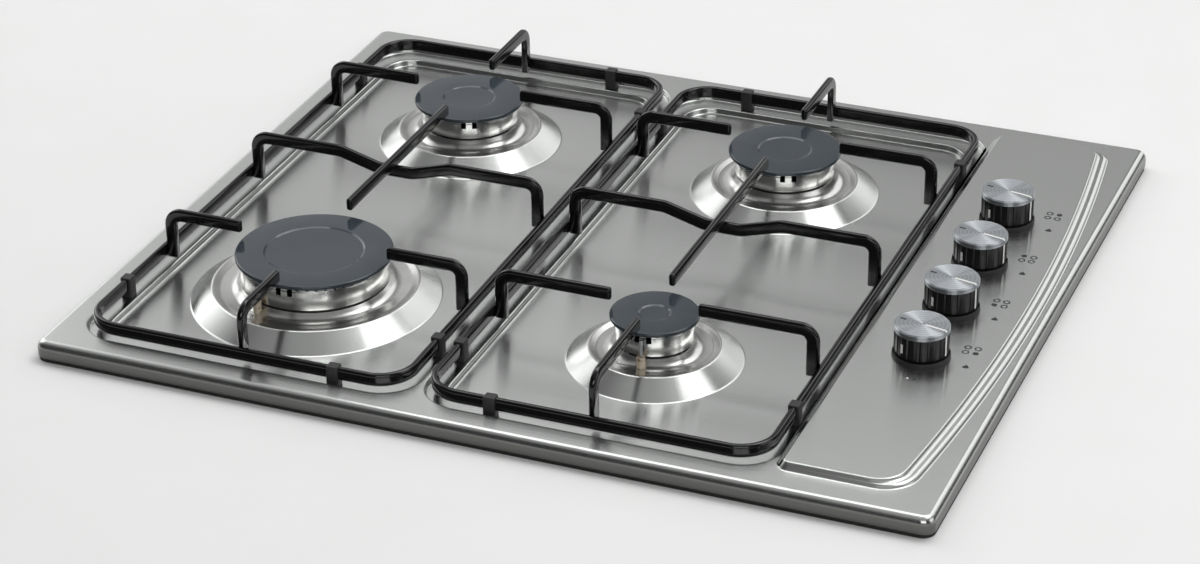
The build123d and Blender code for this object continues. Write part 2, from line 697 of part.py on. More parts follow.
def burner_crown(burner):
    """Machined ring with a venturi tube in the middle and a skirt that locates in the neck."""
    size = BURNERS[burner][0]
    centre = burner_place(burner)
    radius = CROWN[size]
    foot, top = RIM_Z + CROWN_FOOT[size], RIM_Z + CROWN_TOP
    skirt = neck_radius(burner) - NECK_WALL - NECK_GAP
    venturi_low = RIM_Z - VENTURI_DROP
    skirt_low = foot - LOCATING_SKIRT
    lip = radius - LIP_STEP
    points = [
        (VENTURI_BORE, venturi_low),
        (VENTURI_OUTER, venturi_low),
        (VENTURI_OUTER, foot),
        (skirt - LOCATING_WALL, foot),
        (skirt - LOCATING_WALL, skirt_low),
        (skirt, skirt_low),
        (skirt, foot),
        (radius, foot),
        (radius, top - LIP_DROP),
        (lip, top - LIP_DROP + LIP_STEP),
        (lip, top),
        (radius - CROWN_WALL, top),
        (radius - CROWN_WALL, foot + CROWN_FLOOR),
        (VENTURI_OUTER, foot + CROWN_FLOOR),
        (VENTURI_OUTER, top - VENTURI_HEAD),
        (VENTURI_BORE, top - VENTURI_HEAD),
    ]
    crown = turned(points, centre)
    cuts = crown_window(burner)
    place = Pos(centre[0], centre[1], 0)
    inner, half = radius - CROWN_WALL - CUT, PORT_WIDTH / 2
    port = block(inner, radius + CUT, -half, half, top - PORT_DEPTH, top + CUT)
    for angle in port_angles(burner):
        cuts.append(place * Rot(0, 0, angle) * port)
    return crown - cuts


def burner_cap(burner):
    """Enamelled lid with a rounded rim, a shallow dish and three lugs that keep it central on the crown."""
    size = BURNERS[burner][0]
    centre = burner_place(burner)
    low = RIM_Z + CROWN_TOP
    top = low + CAP_THICK
    radius, dish = CAP[size], CAP_DISH[size]
    points = [
        (0, low),
        (radius, low),
        (radius, top),
        (dish + 2 * CAP_DISH_DEPTH, top),
        (dish, top - CAP_DISH_DEPTH),
        (0, top - CAP_DISH_DEPTH),
    ]
    cap = turned(points, centre, [(2, CAP_EDGE)])
    outside = CROWN[size] - CROWN_WALL - LUG_CLEAR
    lug = block(outside - LUG_THICK, outside, -LUG_WIDTH / 2, LUG_WIDTH / 2, low - LUG_DEPTH, low + CUT)
    for turn in LUG_TURNS:
        cap += Pos(centre[0], centre[1], 0) * Rot(0, 0, turn) * lug
    return cap


def ear_underside():
    return RIM_Z + DISH_LEVEL - SHEET - CUP_FLANGE


def electrode_ceramics():
    rods = []
    ear = ear_underside()
    for burner in BURNERS:
        place = electrode_place(burner)
        top = RIM_Z + CERAMIC_TOP[BURNERS[burner][0]]
        rod = disc(CERAMIC_RADIUS, ear - CERAMIC_TAIL, top, place)
        rod += disc(CERAMIC_RADIUS + CERAMIC_COLLAR, ear - COLLAR_HEIGHT, ear, place)
        rods.append(rod - disc(PIN_RADIUS, ear - CERAMIC_TAIL - CUT, top + CUT, place))
    return rods


def electrode_pins():
    low = ear_underside() - PIN_TAIL
    return [disc(PIN_RADIUS, low, RIM_Z + PIN_TOP, electrode_place(burner)) for burner in BURNERS]


# ---- gas ways ------------------------------------------------------------------------------------
def manifold_front():
    return knob_y(KNOB_ORDER[0]) - MANIFOLD_END


def on_manifold(y):
    return MANIFOLD_X, y, GAS_Z


def gas_manifold():
    front = manifold_front()
    tube = rod_along((0, 1, 0), on_manifold(front), on_manifold(MANIFOLD_BACK), MANIFOLD_RADIUS)
    bore_start = on_manifold(front + MANIFOLD_PLUG)
    tube -= rod_along((0, 1, 0), bore_start, on_manifold(MANIFOLD_BACK + CUT), MANIFOLD_BORE)
    for burner in BURNERS:
        y = knob_y(burner)
        end = (MANIFOLD_X - MANIFOLD_RADIUS - CUT, y, GAS_Z)
        tube -= rod_along((-1, 0, 0), on_manifold(y), end, WAY_RADIUS)
    return tube


def manifold_saddles():
    """Two bent saddles, welded to the case floor, that carry the manifold."""
    saddles = []
    inside, half = SADDLE_HALF - CLAMP_STRIP, SADDLE_LENGTH / 2
    roof = GAS_Z - MANIFOLD_RADIUS - CLAMP_STRIP
    for y in (manifold_front() + SADDLE_FRONT, MANIFOLD_BACK - SADDLE_BACK):
        front, back = y - half, y + half
        saddle = block(MANIFOLD_X - SADDLE_HALF, MANIFOLD_X + SADDLE_HALF, front, back, SHEET, GAS_Z)
        saddle -= block(
            MANIFOLD_X - inside, MANIFOLD_X + inside, front - CUT, back + CUT, SHEET + CLAMP_STRIP, roof
        )
        saddle -= rod_along((0, 1, 0), on_manifold(front - CUT), on_manifold(back + CUT), MANIFOLD_RADIUS)
        saddles.append(saddle)
    return saddles


def inlet_elbow():
    """Threaded inlet that opens downwards, flush with the case; the manifold's end enters from the front."""
    centre = (MANIFOLD_X, INLET_Y)
    socket = MANIFOLD_BACK - INLET_SOCKET
    elbow = disc(INLET_RADIUS, 0, GAS_Z + TAP_RADIUS, centre)
    elbow += rod_along((0, -1, 0), on_manifold(INLET_Y), on_manifold(socket), INLET_BOSS)
    elbow -= disc(INLET_THREAD, -CUT, INLET_THREAD_LENGTH, centre)
    elbow -= disc(INLET_WAY, INLET_THREAD_LENGTH - CUT, GAS_Z + INLET_WAY, centre)
    mouth = on_manifold(socket - CUT)
    elbow -= rod_along((0, -1, 0), on_manifold(INLET_Y), mouth, MANIFOLD_BORE)
    return elbow - rod_along((0, -1, 0), on_manifold(MANIFOLD_BACK), mouth, MANIFOLD_RADIUS + STEM_FIT)


def pipe_route(burner):
    """Plan points of a supply pipe, from the tap's nut to the burner's."""
    x, y = burner_place(burner)
    tap_y = knob_y(burner)
    end = x + BURNER_BOSS
    lean = abs(y - tap_y) / 2 + PIPE_BEND
    return [(KNOB_X - OUTLET_REACH, tap_y), (end + lean + PIPE_BEND, tap_y), (end + PIPE_BEND, y), (end, y)]


def gas_pipes():
    pipes = []
    for burner in BURNERS:
        route = FilletPolyline(*[(x, y, GAS_Z) for x, y in pipe_route(burner)], radius=PIPE_ROUND)
        pipes.append(sweep(Plane(origin=route @ 0, z_dir=route % 0) * Circle(PIPE_RADIUS), path=route))
    return pipes


def pipe_nuts():
    nuts = []
    for burner in BURNERS:
        route = pipe_route(burner)
        for x, y, toward in ((*route[0], -1), (*route[-1], 1)):
            plane = Plane(origin=(x, y, GAS_Z), z_dir=(toward, 0, 0))
            face = RegularPolygon(NUT_FLATS / 2, 6, major_radius=False) - Circle(PIPE_RADIUS + STEM_FIT)
            nuts.append(extrude(plane * face, NUT_LENGTH))
    return nuts


# ---- taps ----------------------------------------------------------------------------------------
def tap_body(burner):
    """Body with the plug's bore, a saddle on the manifold and an outlet towards the burner."""
    y = knob_y(burner)
    centre = (KNOB_X, y)
    axis = (KNOB_X, y, GAS_Z)
    body = disc(TAP_RADIUS, GAS_Z - TAP_FOOT, TAP_TOP_Z, centre)
    body += rod_along((-1, 0, 0), axis, (KNOB_X - OUTLET_REACH, y, GAS_Z), BOSS_RADIUS)
    body += block(KNOB_X, MANIFOLD_X, y - TAP_SADDLE, y + TAP_SADDLE, GAS_Z - TAP_RADIUS, GAS_Z + TAP_RADIUS)
    front, back = on_manifold(y - TAP_SADDLE - CUT), on_manifold(y + TAP_SADDLE + CUT)
    body -= rod_along((0, 1, 0), front, back, MANIFOLD_RADIUS)
    body -= disc(PLUG_RADIUS + PLUG_FIT, GAS_Z - PLUG_DEPTH, TAP_TOP_Z + CUT, centre)
    outlet = (KNOB_X - OUTLET_REACH - CUT, y, GAS_Z)
    return body - rod_along((-1, 0, 0), on_manifold(y), outlet, WAY_RADIUS)


def tap_plug(burner):
    """Plug with a cross way, shut while it lies across the gas, and a slot on top for the stem."""
    y = knob_y(burner)
    head = TAP_TOP_Z - PLUG_HEAD_GAP
    plug = disc(PLUG_RADIUS, GAS_Z - PLUG_DEPTH + PLUG_END_GAP, head, (KNOB_X, y))
    reach = PLUG_RADIUS + CUT
    plug -= rod_along((0, 1, 0), (KNOB_X, y - reach, GAS_Z), (KNOB_X, y + reach, GAS_Z), WAY_RADIUS)
    recess = head - KNOB_TRAVEL - TONGUE_FIT
    plug -= disc(STEM_RADIUS + NECK_GAP, recess, TAP_TOP_Z, (KNOB_X, y))
    half = SLOT_WIDTH / 2
    slot_low = recess - TONGUE_HEIGHT
    return plug - block(KNOB_X - reach, KNOB_X + reach, y - half, y + half, slot_low, TAP_TOP_Z)


def tap_covers():
    covers = []
    top = TAP_TOP_Z + TAP_COVER
    for burner in BURNERS:
        y = knob_y(burner)
        middle = (KNOB_X, y + TAP_COVER_SHIFT)
        plate = rounded_plate(2 * TAP_RADIUS, TAP_COVER_LENGTH, TAP_COVER_CORNER, TAP_TOP_Z, top, middle)
        covers.append(plate - disc(STEM_RADIUS + NECK_GAP, TAP_TOP_Z - CUT, top + CUT, (KNOB_X, y)))
    return covers


def tap_stem(burner):
    """D-shaft with a collar over the spring and a tongue in the plug's slot."""
    y = knob_y(burner)
    centre = (KNOB_X, y)
    tongue_top = TAP_TOP_Z - PLUG_HEAD_GAP
    half = SLOT_WIDTH / 2 - TONGUE_FIT
    stem = disc(PLUG_RADIUS - NECK_GAP, tongue_top - TONGUE_HEIGHT, tongue_top, centre)
    stem &= block(KNOB_X - PLUG_RADIUS, KNOB_X + PLUG_RADIUS, y - half, y + half, 0, TAP_TOP_Z)
    stem += disc(STEM_RADIUS, tongue_top, STEM_TOP_Z, centre)
    stem += disc(COLLAR_RADIUS, COLLAR_Z, COLLAR_Z + COLLAR_THICK, centre)
    return stem - beyond_flat(y, KNOB_X + STEM_FLAT)


def beyond_flat(y, flat):
    """What the stem's flat cuts off, over the length that the knob grips."""
    half = STEM_RADIUS + CUT
    return block(flat, KNOB_X + half, y - half, y + half, KNOB_LOW, STEM_TOP_Z + CUT)


def return_spring(burner):
    low = TAP_TOP_Z + TAP_COVER
    rise = SPRING_LENGTH - SPRING_WIRE
    centre = (KNOB_X, knob_y(burner), low + SPRING_WIRE / 2)
    helix = Helix(rise / SPRING_TURNS, rise, SPRING_RADIUS, center=centre)
    section = Plane(origin=helix @ 0, z_dir=helix % 0) * Rectangle(SPRING_WIRE, SPRING_WIRE)
    return sweep(section, path=helix, is_frenet=True)


def ignition_switches():
    """Sprung switch beside each stem, closed when the collar comes down on its lever."""
    switches = []
    low = TAP_TOP_Z + TAP_COVER
    lever = COLLAR_Z - KNOB_TRAVEL - LEVER_GAP
    half = SWITCH_LENGTH / 2
    for burner in BURNERS:
        y = knob_y(burner)
        roof = lever - LEVER_THICK
        housing = block(KNOB_X - half, KNOB_X + half, y + SWITCH_NEAR, y + SWITCH_FAR, low, roof)
        left, right = KNOB_X - LEVER_HALF, KNOB_X + LEVER_HALF
        switches.append(housing + block(left, right, y + LEVER_NEAR, y + LEVER_FAR, roof, lever))
    return switches


# ---- knobs ---------------------------------------------------------------------------------------
def knob(burner):
    """Moulded knob: a ribbed skirt, a hub with a D-bore and a boss under the metal face."""
    y = knob_y(burner)
    face_low = RIM_Z + KNOB_TOP - KNOB_FACE_DEPTH
    boss = KNOB_FACE - FACE_WALL
    points = [
        (0, face_low - KNOB_WALL),
        (KNOB_SKIRT - KNOB_WALL, face_low - KNOB_WALL),
        (KNOB_SKIRT - KNOB_WALL, KNOB_LOW),
        (KNOB_SKIRT, KNOB_LOW),
        (KNOB_SKIRT, face_low),
        (boss, face_low),
        (boss, RIM_Z + KNOB_TOP - FACE_SHEET),
        (0, RIM_Z + KNOB_TOP - FACE_SHEET),
    ]
    body = turned(points, (KNOB_X, y)) + disc(STEM_RADIUS + KNOB_HUB_WALL, KNOB_LOW, face_low, (KNOB_X, y))
    place, half = Pos(KNOB_X, y, 0), RIB_WIDTH / 2
    strip = block(KNOB_SKIRT - RIB_ROOT, KNOB_SKIRT + RIB_HEIGHT, -half, half, KNOB_LOW, face_low)
    for rib in range(KNOB_RIBS):
        body += place * Rot(0, 0, rib * 360 / KNOB_RIBS) * strip
    bore = disc(STEM_RADIUS + STEM_FIT, KNOB_LOW, STEM_TOP_Z + STEM_FIT, (KNOB_X, y))
    return body - (bore - beyond_flat(y, KNOB_X + STEM_FLAT + STEM_FIT))


def knob_face(burner):
    """Spun metal cup over the knob's boss, with the pointer line cut into its top and side."""
    y = knob_y(burner)
    top = RIM_Z + KNOB_TOP
    low = top - KNOB_FACE_DEPTH
    boss = KNOB_FACE - FACE_WALL
    points = [
        (0, top - FACE_SHEET),
        (boss, top - FACE_SHEET),
        (boss, low),
        (KNOB_FACE, low),
        (KNOB_FACE, top),
        (0, top),
    ]
    face = turned(points, (KNOB_X, y), [(4, FACE_SHEET)])
    half = POINTER_WIDTH / 2
    inner, outer = KNOB_X + KNOB_FACE - POINTER_DEPTH, KNOB_X + KNOB_FACE + CUT
    face -= block(KNOB_X + POINTER_START, outer, y - half, y + half, top - POINTER_DEPTH, top + CUT)
    return face - block(inner, outer, y - half, y + half, low - CUT, top)


def knob_seals():
    """Ring round each knob, with a floor that closes the hole and a lip through it."""
    seals = []
    for burner in BURNERS:
        centre = (KNOB_X, knob_y(burner))
        seal = ring(SEAL_RING, SEAL_RING - SEAL_RING_WALL, PLATEAU_Z, PLATEAU_Z + SEAL_RING_HEIGHT, centre)
        seal += disc(SEAL_RING - SEAL_RING_WALL / 2, PLATEAU_Z, PLATEAU_Z + SEAL_FLOOR, centre)
        seal += disc(STEM_HOLE, PLATEAU_Z - SHEET, PLATEAU_Z + SEAL_FLOOR, centre)
        low, high = PLATEAU_Z - SHEET - CUT, PLATEAU_Z + SEAL_FLOOR + CUT
        seals.append(seal - disc(STEM_RADIUS + SEAL_STEM_GAP, low, high, centre))
    return seals


# ---- electrics -----------------------------------------------------------------------------------
def box_on_floor(length, width, height, place):
    x, y = place
    return block(x - length / 2, x + length / 2, y - width / 2, y + width / 2, SHEET, SHEET + height)


def ignition_module():
    """Moulded spark generator with four high-voltage tabs, two on each side."""
    module = box_on_floor(MODULE_LENGTH, MODULE_WIDTH, MODULE_HEIGHT, MODULE_PLACE)
    module = fillet(module.edges().filter_by(Axis.Z), MODULE_CORNER)
    half = TAB_WIDTH / 2
    for x, y in module_tabs().values():
        module += block(x - half, x + half, y - TAB_REACH, y + TAB_REACH, TAB_LOW, TAB_HIGH)
    return module


def module_tabs():
    x, y = MODULE_PLACE
    spread = {"left": -TAB_SPREAD, "right": TAB_SPREAD}
    return {
        burner: (x + spread[column], y + side * MODULE_WIDTH / 2)
        for burner, (size, column, side) in BURNERS.items()
    }


def ignition_leads():
    """High-voltage leads from the module to the foot of each electrode."""
    leads = []
    for burner, tab in module_tabs().items():
        side = BURNERS[burner][2]
        x, y = electrode_place(burner)
        points = [
            (tab[0], tab[1] + side * TAB_REACH, LEAD_Z),
            (tab[0], tab[1] + side * LEAD_RUN, LEAD_Z),
            (x, y - side * LEAD_RUN, LEAD_Z),
            (x, y, LEAD_Z),
            (x, y, ear_underside() - PIN_TAIL),
        ]
        route = FilletPolyline(*points, radius=LEAD_BEND)
        section = Plane(origin=route @ 0, z_dir=route % 0) * RegularPolygon(LEAD_RADIUS, 6)
        leads.append(sweep(section, path=route))
    return leads


def terminal_block():
    terminals = box_on_floor(TERMINAL_LENGTH, TERMINAL_WIDTH, TERMINAL_HEIGHT, TERMINAL_PLACE)
    top = SHEET + TERMINAL_HEIGHT
    for pole in range(TERMINAL_POLES):
        x = TERMINAL_PLACE[0] + (pole - (TERMINAL_POLES - 1) / 2) * TERMINAL_LENGTH / TERMINAL_POLES
        place = (x, TERMINAL_PLACE[1] - POLE_SHIFT)
        terminals -= disc(POLE_RADIUS, top - POLE_DEPTH, top + CUT, place)
    return terminals


def cable_gland():
    """Grommet in the case floor, flush below and lipped above."""
    gland = disc(GLAND_RADIUS, 0, GLAND_TOP, GLAND_PLACE)
    gland += disc(GLAND_RADIUS + GLAND_LIP, SHEET, GLAND_LIP_TOP, GLAND_PLACE)
    return gland - disc(GLAND_BORE, -CUT, GLAND_TOP + CUT, GLAND_PLACE)


# ---- pan supports --------------------------------------------------------------------------------
def rail(column):
    low = RIM_Z + RAIL_CLEAR
    high = low + BAR_DEPTH
    centre = (WELL_X[column], WELL_Y)
    half = BAR_THICK / 2
    outer = rounded_plate(
        RAIL_LENGTH + BAR_THICK, RAIL_WIDTH + BAR_THICK, RAIL_CORNER + half, low, high, centre
    )
    frame = outer - rounded_plate(
        RAIL_LENGTH - BAR_THICK, RAIL_WIDTH - BAR_THICK, RAIL_CORNER - half, low - CUT, high + CUT, centre
    )
    loops = frame.faces().filter_by(Axis.Z).edges()
    return chamfer(loops, BAR_CHAMFER)


def bar(outline, rounds, plane):
    """A flat bar bent on edge, with broken edges: outline is (along, up), rounds are (index, radius)."""
    face = make_face(Polyline(*outline, close=True))
    for index, radius in rounds:
        corner = face.vertices().sort_by_distance((outline[index][0], outline[index][1], 0))[0]
        face = fillet(corner, radius)
    solid = extrude(plane * face, BAR_THICK / 2, both=True)
    sides = solid.faces().filter_by(Axis(plane.origin, plane.z_dir)).edges()
    return chamfer(sides, BAR_CHAMFER)


def finger(plane, reach, tip):
    """A leg up the inside of the rail, bent inwards to a level finger; reach and tip are from the centre."""
    low, top = RIM_Z + RAIL_CLEAR + WELD_RISE, RIM_Z + FINGER_TOP
    outline = [
        (-reach, low),
        (-reach, top),
        (-tip, top),
        (-tip, top - BAR_DEPTH),
        (-reach + BAR_DEPTH, top - BAR_DEPTH),
        (-reach + BAR_DEPTH, low),
    ]
    return bar(outline, [(1, FINGER_BEND), (4, FINGER_BEND - BAR_DEPTH)], plane)


def transverse_bar(plane, reach):
    """From rail to rail, dipped in the middle by a bar's depth to let the long bar lie level in it."""
    low, top = RIM_Z + RAIL_CLEAR + WELD_RISE, RIM_Z + FINGER_TOP
    dip = BAR_DEPTH - WELD_SINK
    outer = [(-reach, low), (-reach, top), (-DIP_KINK, top), (-DIP_FLAT, top - dip)]
    inner = [
        (-DIP_FLAT, top - dip - BAR_DEPTH),
        (-DIP_KINK, top - BAR_DEPTH),
        (-reach + BAR_DEPTH, top - BAR_DEPTH),
        (-reach + BAR_DEPTH, low),
    ]
    wide, tight = DIP_BEND + BAR_DEPTH / 2, DIP_BEND - BAR_DEPTH / 2
    bends = [(1, FINGER_BEND), (2, wide), (3, tight), (4, tight), (5, wide), (6, FINGER_BEND)]
    hollow = FINGER_BEND - BAR_DEPTH
    bends += [(9, hollow), (10, tight), (11, wide), (12, wide), (13, tight), (14, hollow)]
    outline = outer + [(-x, z) for x, z in reversed(outer)]
    outline += [(-x, z) for x, z in reversed(inner)] + inner
    return bar(outline, bends, plane)


def pan_support(column):
    x = WELL_X[column]
    support = rail(column)
    reach_x = (RAIL_LENGTH - BAR_THICK) / 2 + WELD_SINK
    reach_y = (RAIL_WIDTH - BAR_THICK) / 2 + WELD_SINK
    for burner, (size, side_of, side) in BURNERS.items():
        if side_of != column:
            continue
        y = burner_place(burner)[1]
        tip = CAP[size] + TIP_GAP
        for turn in (1, -1):
            side_plane = Plane(origin=(x, y, 0), x_dir=(turn, 0, 0), z_dir=(0, -turn, 0))
            support += finger(side_plane, reach_x, tip)
        end_plane = Plane(origin=(x, WELL_Y, 0), x_dir=(0, -side, 0), z_dir=(-side, 0, 0))
        support += finger(end_plane, reach_y, BURNER_PITCH / 2 + tip)
    support += transverse_bar(Plane(origin=(x, WELL_Y, 0), x_dir=(1, 0, 0), z_dir=(0, -1, 0)), reach_x)
    return support + long_bar(column)


def long_bar(column):
    """The level bar that lies in the cross bar's dip and ends just short of both burner caps."""
    front, rear = [CAP[BURNERS[row + column][0]] for row in ("front_", "rear_")]
    low_end = front + TIP_GAP - BURNER_PITCH / 2
    high_end = BURNER_PITCH / 2 - rear - TIP_GAP
    top = RIM_Z + FINGER_TOP
    outline = [(low_end, top - BAR_DEPTH), (low_end, top), (high_end, top), (high_end, top - BAR_DEPTH)]
    return bar(outline, [], Plane(origin=(WELL_X[column], WELL_Y, 0), x_dir=(0, 1, 0), z_dir=(1, 0, 0)))


def support_feet(column):
    """Rubber bands clipped round the rail, which stand on the well's ledge."""
    x = WELL_X[column]
    toward_middle = 1 if column == "left" else -1
    loop = rail(column)
    thick = BAR_THICK / 2 + FOOT_WALL
    top = RIM_Z + RAIL_CLEAR + BAR_DEPTH + FOOT_WALL / 2
    half = FOOT_LENGTH / 2
    feet = []
    along_end = toward_middle * (RAIL_LENGTH / 2 - FOOT_TO_SIDE)
    along_side = RAIL_WIDTH / 2 - FOOT_TO_END
    for side in (-1, 1):
        fx, fy = x + along_end, WELL_Y + side * RAIL_WIDTH / 2
        feet.append(block(fx - half, fx + half, fy - thick, fy + thick, LEDGE_Z, top) - loop)
        for end in (-1, 1):
            fx, fy = x + side * RAIL_LENGTH / 2, WELL_Y + end * along_side
            feet.append(block(fx - thick, fx + thick, fy - half, fy + half, LEDGE_Z, top) - loop)
    return feet


os.makedirs("parts", exist_ok=True)
save("top_panel", top_panel())
save("edge_seal", edge_seal())
save("bottom_case", bottom_case())
save("worktop_clamps", *worktop_clamps())
save("machine_screws", *clamp_screws(), *burner_screws())
save("case_nuts", *case_nuts())
save("injectors", *injectors())
save("electrode_ceramics", *electrode_ceramics())
save("electrode_pins", *electrode_pins())
save("gas_manifold", gas_manifold())
save("inlet_elbow", inlet_elbow())
save("gas_pipes", *gas_pipes())
save("pipe_nuts", *pipe_nuts())
save("tap_covers", *tap_covers())
save("ignition_switches", *ignition_switches())
save("ignition_module", ignition_module())
save("ignition_leads", *ignition_leads())
save("knob_seals", *knob_seals())
save("terminal_block", terminal_block())
save("cable_gland", cable_gland())
for burner_name in BURNERS:
    save("burner_cup_" + burner_name, burner_cup(burner_name))
    save("burner_crown_" + burner_name, burner_crown(burner_name))
    save("burner_cap_" + burner_name, burner_cap(burner_name))
    save("tap_body_" + burner_name, tap_body(burner_name))
    save("tap_plug_" + burner_name, tap_plug(burner_name))
    save("tap_stem_" + burner_name, tap_stem(burner_name))
    save("return_spring_" + burner_name, return_spring(burner_name))
    save("knob_" + burner_name, knob(burner_name))
    save("knob_face_" + burner_name, knob_face(burner_name))
for column_name in COLUMNS:
    save("pan_support_" + column_name, pan_support(column_name))
    save("support_feet_" + column_name, *support_feet(column_name))
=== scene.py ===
"""A built-in gas hob with four burners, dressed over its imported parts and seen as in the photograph."""
import math

import bmesh
import bpy
import numpy as np
from mathutils import Matrix, Vector
from mathutils.geometry import tessellate_polygon


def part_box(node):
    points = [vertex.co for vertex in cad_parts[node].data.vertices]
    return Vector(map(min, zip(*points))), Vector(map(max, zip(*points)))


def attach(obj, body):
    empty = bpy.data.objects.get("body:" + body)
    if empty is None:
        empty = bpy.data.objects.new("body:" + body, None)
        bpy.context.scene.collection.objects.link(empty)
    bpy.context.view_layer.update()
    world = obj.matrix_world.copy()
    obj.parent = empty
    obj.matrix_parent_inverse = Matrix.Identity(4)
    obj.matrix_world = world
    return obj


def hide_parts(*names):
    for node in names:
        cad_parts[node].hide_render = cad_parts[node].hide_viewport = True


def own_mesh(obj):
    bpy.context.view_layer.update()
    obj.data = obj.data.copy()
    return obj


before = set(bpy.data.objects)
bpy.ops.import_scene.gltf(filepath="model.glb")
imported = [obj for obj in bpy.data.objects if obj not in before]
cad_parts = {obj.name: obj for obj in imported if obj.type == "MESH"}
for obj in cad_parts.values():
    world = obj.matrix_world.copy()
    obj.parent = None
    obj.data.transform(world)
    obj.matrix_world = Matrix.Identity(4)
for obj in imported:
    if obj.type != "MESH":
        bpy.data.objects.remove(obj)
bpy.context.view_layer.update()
BURNERS = ("front_left", "rear_left", "rear_right", "front_right")
COLUMNS = ("left", "right")


# The view: the hob is seen from the front right, from a standing cook's height, through a long lens.
# The numbers are the photograph's own angle and distance, found from the outline of the panel.
CAMERA_TURN = math.radians(22.090)
CAMERA_LIFT = math.radians(28.298)
CAMERA_ROLL = -0.010826
CAMERA_TARGET = Vector((0.00962, -0.05762, 0.056))
CAMERA_DISTANCE = 2.12952
CAMERA_LENS = 100.233
SENSOR_WIDTH = 36.0

back = Vector((
    math.sin(CAMERA_TURN) * math.cos(CAMERA_LIFT),
    -math.cos(CAMERA_TURN) * math.cos(CAMERA_LIFT),
    math.sin(CAMERA_LIFT),
))
level = Vector((math.cos(CAMERA_TURN), math.sin(CAMERA_TURN), 0))
raised = back.cross(level)
right = math.cos(CAMERA_ROLL) * level + math.sin(CAMERA_ROLL) * raised
up = math.cos(CAMERA_ROLL) * raised - math.sin(CAMERA_ROLL) * level
lens = bpy.data.cameras.new("photo_view")
lens.lens = CAMERA_LENS
lens.sensor_width = SENSOR_WIDTH
camera = bpy.data.objects.new("photo_view", lens)
bpy.context.scene.collection.objects.link(camera)
camera.matrix_world = Matrix((right, up, back)).transposed().to_4x4()
camera.location = CAMERA_TARGET + back * CAMERA_DISTANCE
bpy.context.scene.camera = camera
bpy.context.scene.view_settings.view_transform = "Standard"


# The worktop: a plain white board with the hob's cut-out, so that only the pressed edge stands over it.
# It is matt, and its cut edges stay hidden under the panel.
MM = 0.001
WORKTOP_COLOUR = "#fafaf9"
WORKTOP_HALF = (2600.0, 2600.0)
WORKTOP_CORNER = 10.0
WORKTOP_HOLE = (280.0, 245.0)
HOLE_CORNER = 6.0
MERGE = 0.002  # mm between points that are one
GRAIN_UNIT = 100.0  # mm to one unit of a brush map


def linear(colour):
    """An sRGB hex colour as linear red, green, blue and alpha."""
    parts = np.array([int(colour[i:i + 2], 16) for i in (1, 3, 5)]) / 255
    straight = np.where(parts <= 0.04045, parts / 12.92, ((parts + 0.055) / 1.055) ** 2.4)
    return (*straight, 1.0)


def add_node(tree, kind, settings=None, inputs=None):
    """A node of that kind with its properties set; inputs are socket values, or outputs to link from."""
    made = tree.nodes.new(kind)
    for name, value in (settings or {}).items():
        setattr(made, name, value)
    for name, value in (inputs or {}).items():
        if isinstance(value, bpy.types.NodeSocket):
            tree.links.new(value, made.inputs[name])
        else:
            made.inputs[name].default_value = value
    return made


def empty_material(name):
    """A new material and its node tree, which is empty."""
    material = bpy.data.materials.new(name)
    material.use_nodes = True
    material.node_tree.nodes.clear()
    return material, material.node_tree


def shade(tree, inputs):
    """Ends a material's tree with the shader that has these inputs."""
    shader = add_node(tree, "ShaderNodeBsdfPrincipled", inputs=inputs)
    add_node(tree, "ShaderNodeOutputMaterial", inputs={"Surface": shader.outputs[0]})


def two_toned(tree, pattern, dark, light, inputs, relief=None, gloss=None):
    """Ends a material's tree. With the pattern's value the colour goes from the dark to the light tone, the
    roughness from gloss's first value to its second, and a bump rises with relief's strength and mm."""
    tone = add_node(tree, "ShaderNodeMix", {"data_type": "RGBA"}, {
        "Factor": pattern, 6: linear(dark), 7: linear(light),
    })
    inputs = {"Base Color": tone.outputs[2], **inputs}
    if relief:
        bump = add_node(tree, "ShaderNodeBump", inputs={
            "Height": pattern, "Strength": relief[0], "Distance": relief[1] * MM,
        })
        inputs["Normal"] = bump.outputs[0]
    if gloss:
        spread = add_node(tree, "ShaderNodeMapRange", inputs={
            "Value": pattern, "To Min": gloss[0], "To Max": gloss[1],
        })
        inputs["Roughness"] = spread.outputs[0]
    shade(tree, inputs)


def clouded(name, grain, dark, light, inputs, detail=2.0, relief=None, gloss=None):
    """A two-toned material whose pattern is a soft noise with clouds of that grain in mm."""
    material, tree = empty_material(name)
    place = add_node(tree, "ShaderNodeTexCoord").outputs["Object"]
    cloud = add_node(tree, "ShaderNodeTexNoise", inputs={
        "Vector": place, "Scale": 1 / (grain * MM), "Detail": detail,
    })
    two_toned(tree, cloud.outputs[0], dark, light, inputs, relief, gloss)
    return material


def flat_fill(loops, height):
    """Upward triangles that fill the first loop around the others, all at one height: points and faces."""
    outlines = [[Vector((x, y, 0)) for x, y in loop] for loop in loops]
    faces = np.array(tessellate_polygon(outlines))
    plan = np.concatenate(loops)
    a, b, c = (plan[faces[:, i]] for i in range(3))
    turn = (b[:, 0] - a[:, 0]) * (c[:, 1] - a[:, 1]) - (b[:, 1] - a[:, 1]) * (c[:, 0] - a[:, 0])
    wrong = turn <= 0
    faces[wrong] = faces[wrong][:, ::-1]
    return np.column_stack([plan, np.full(len(plan), height)]), faces


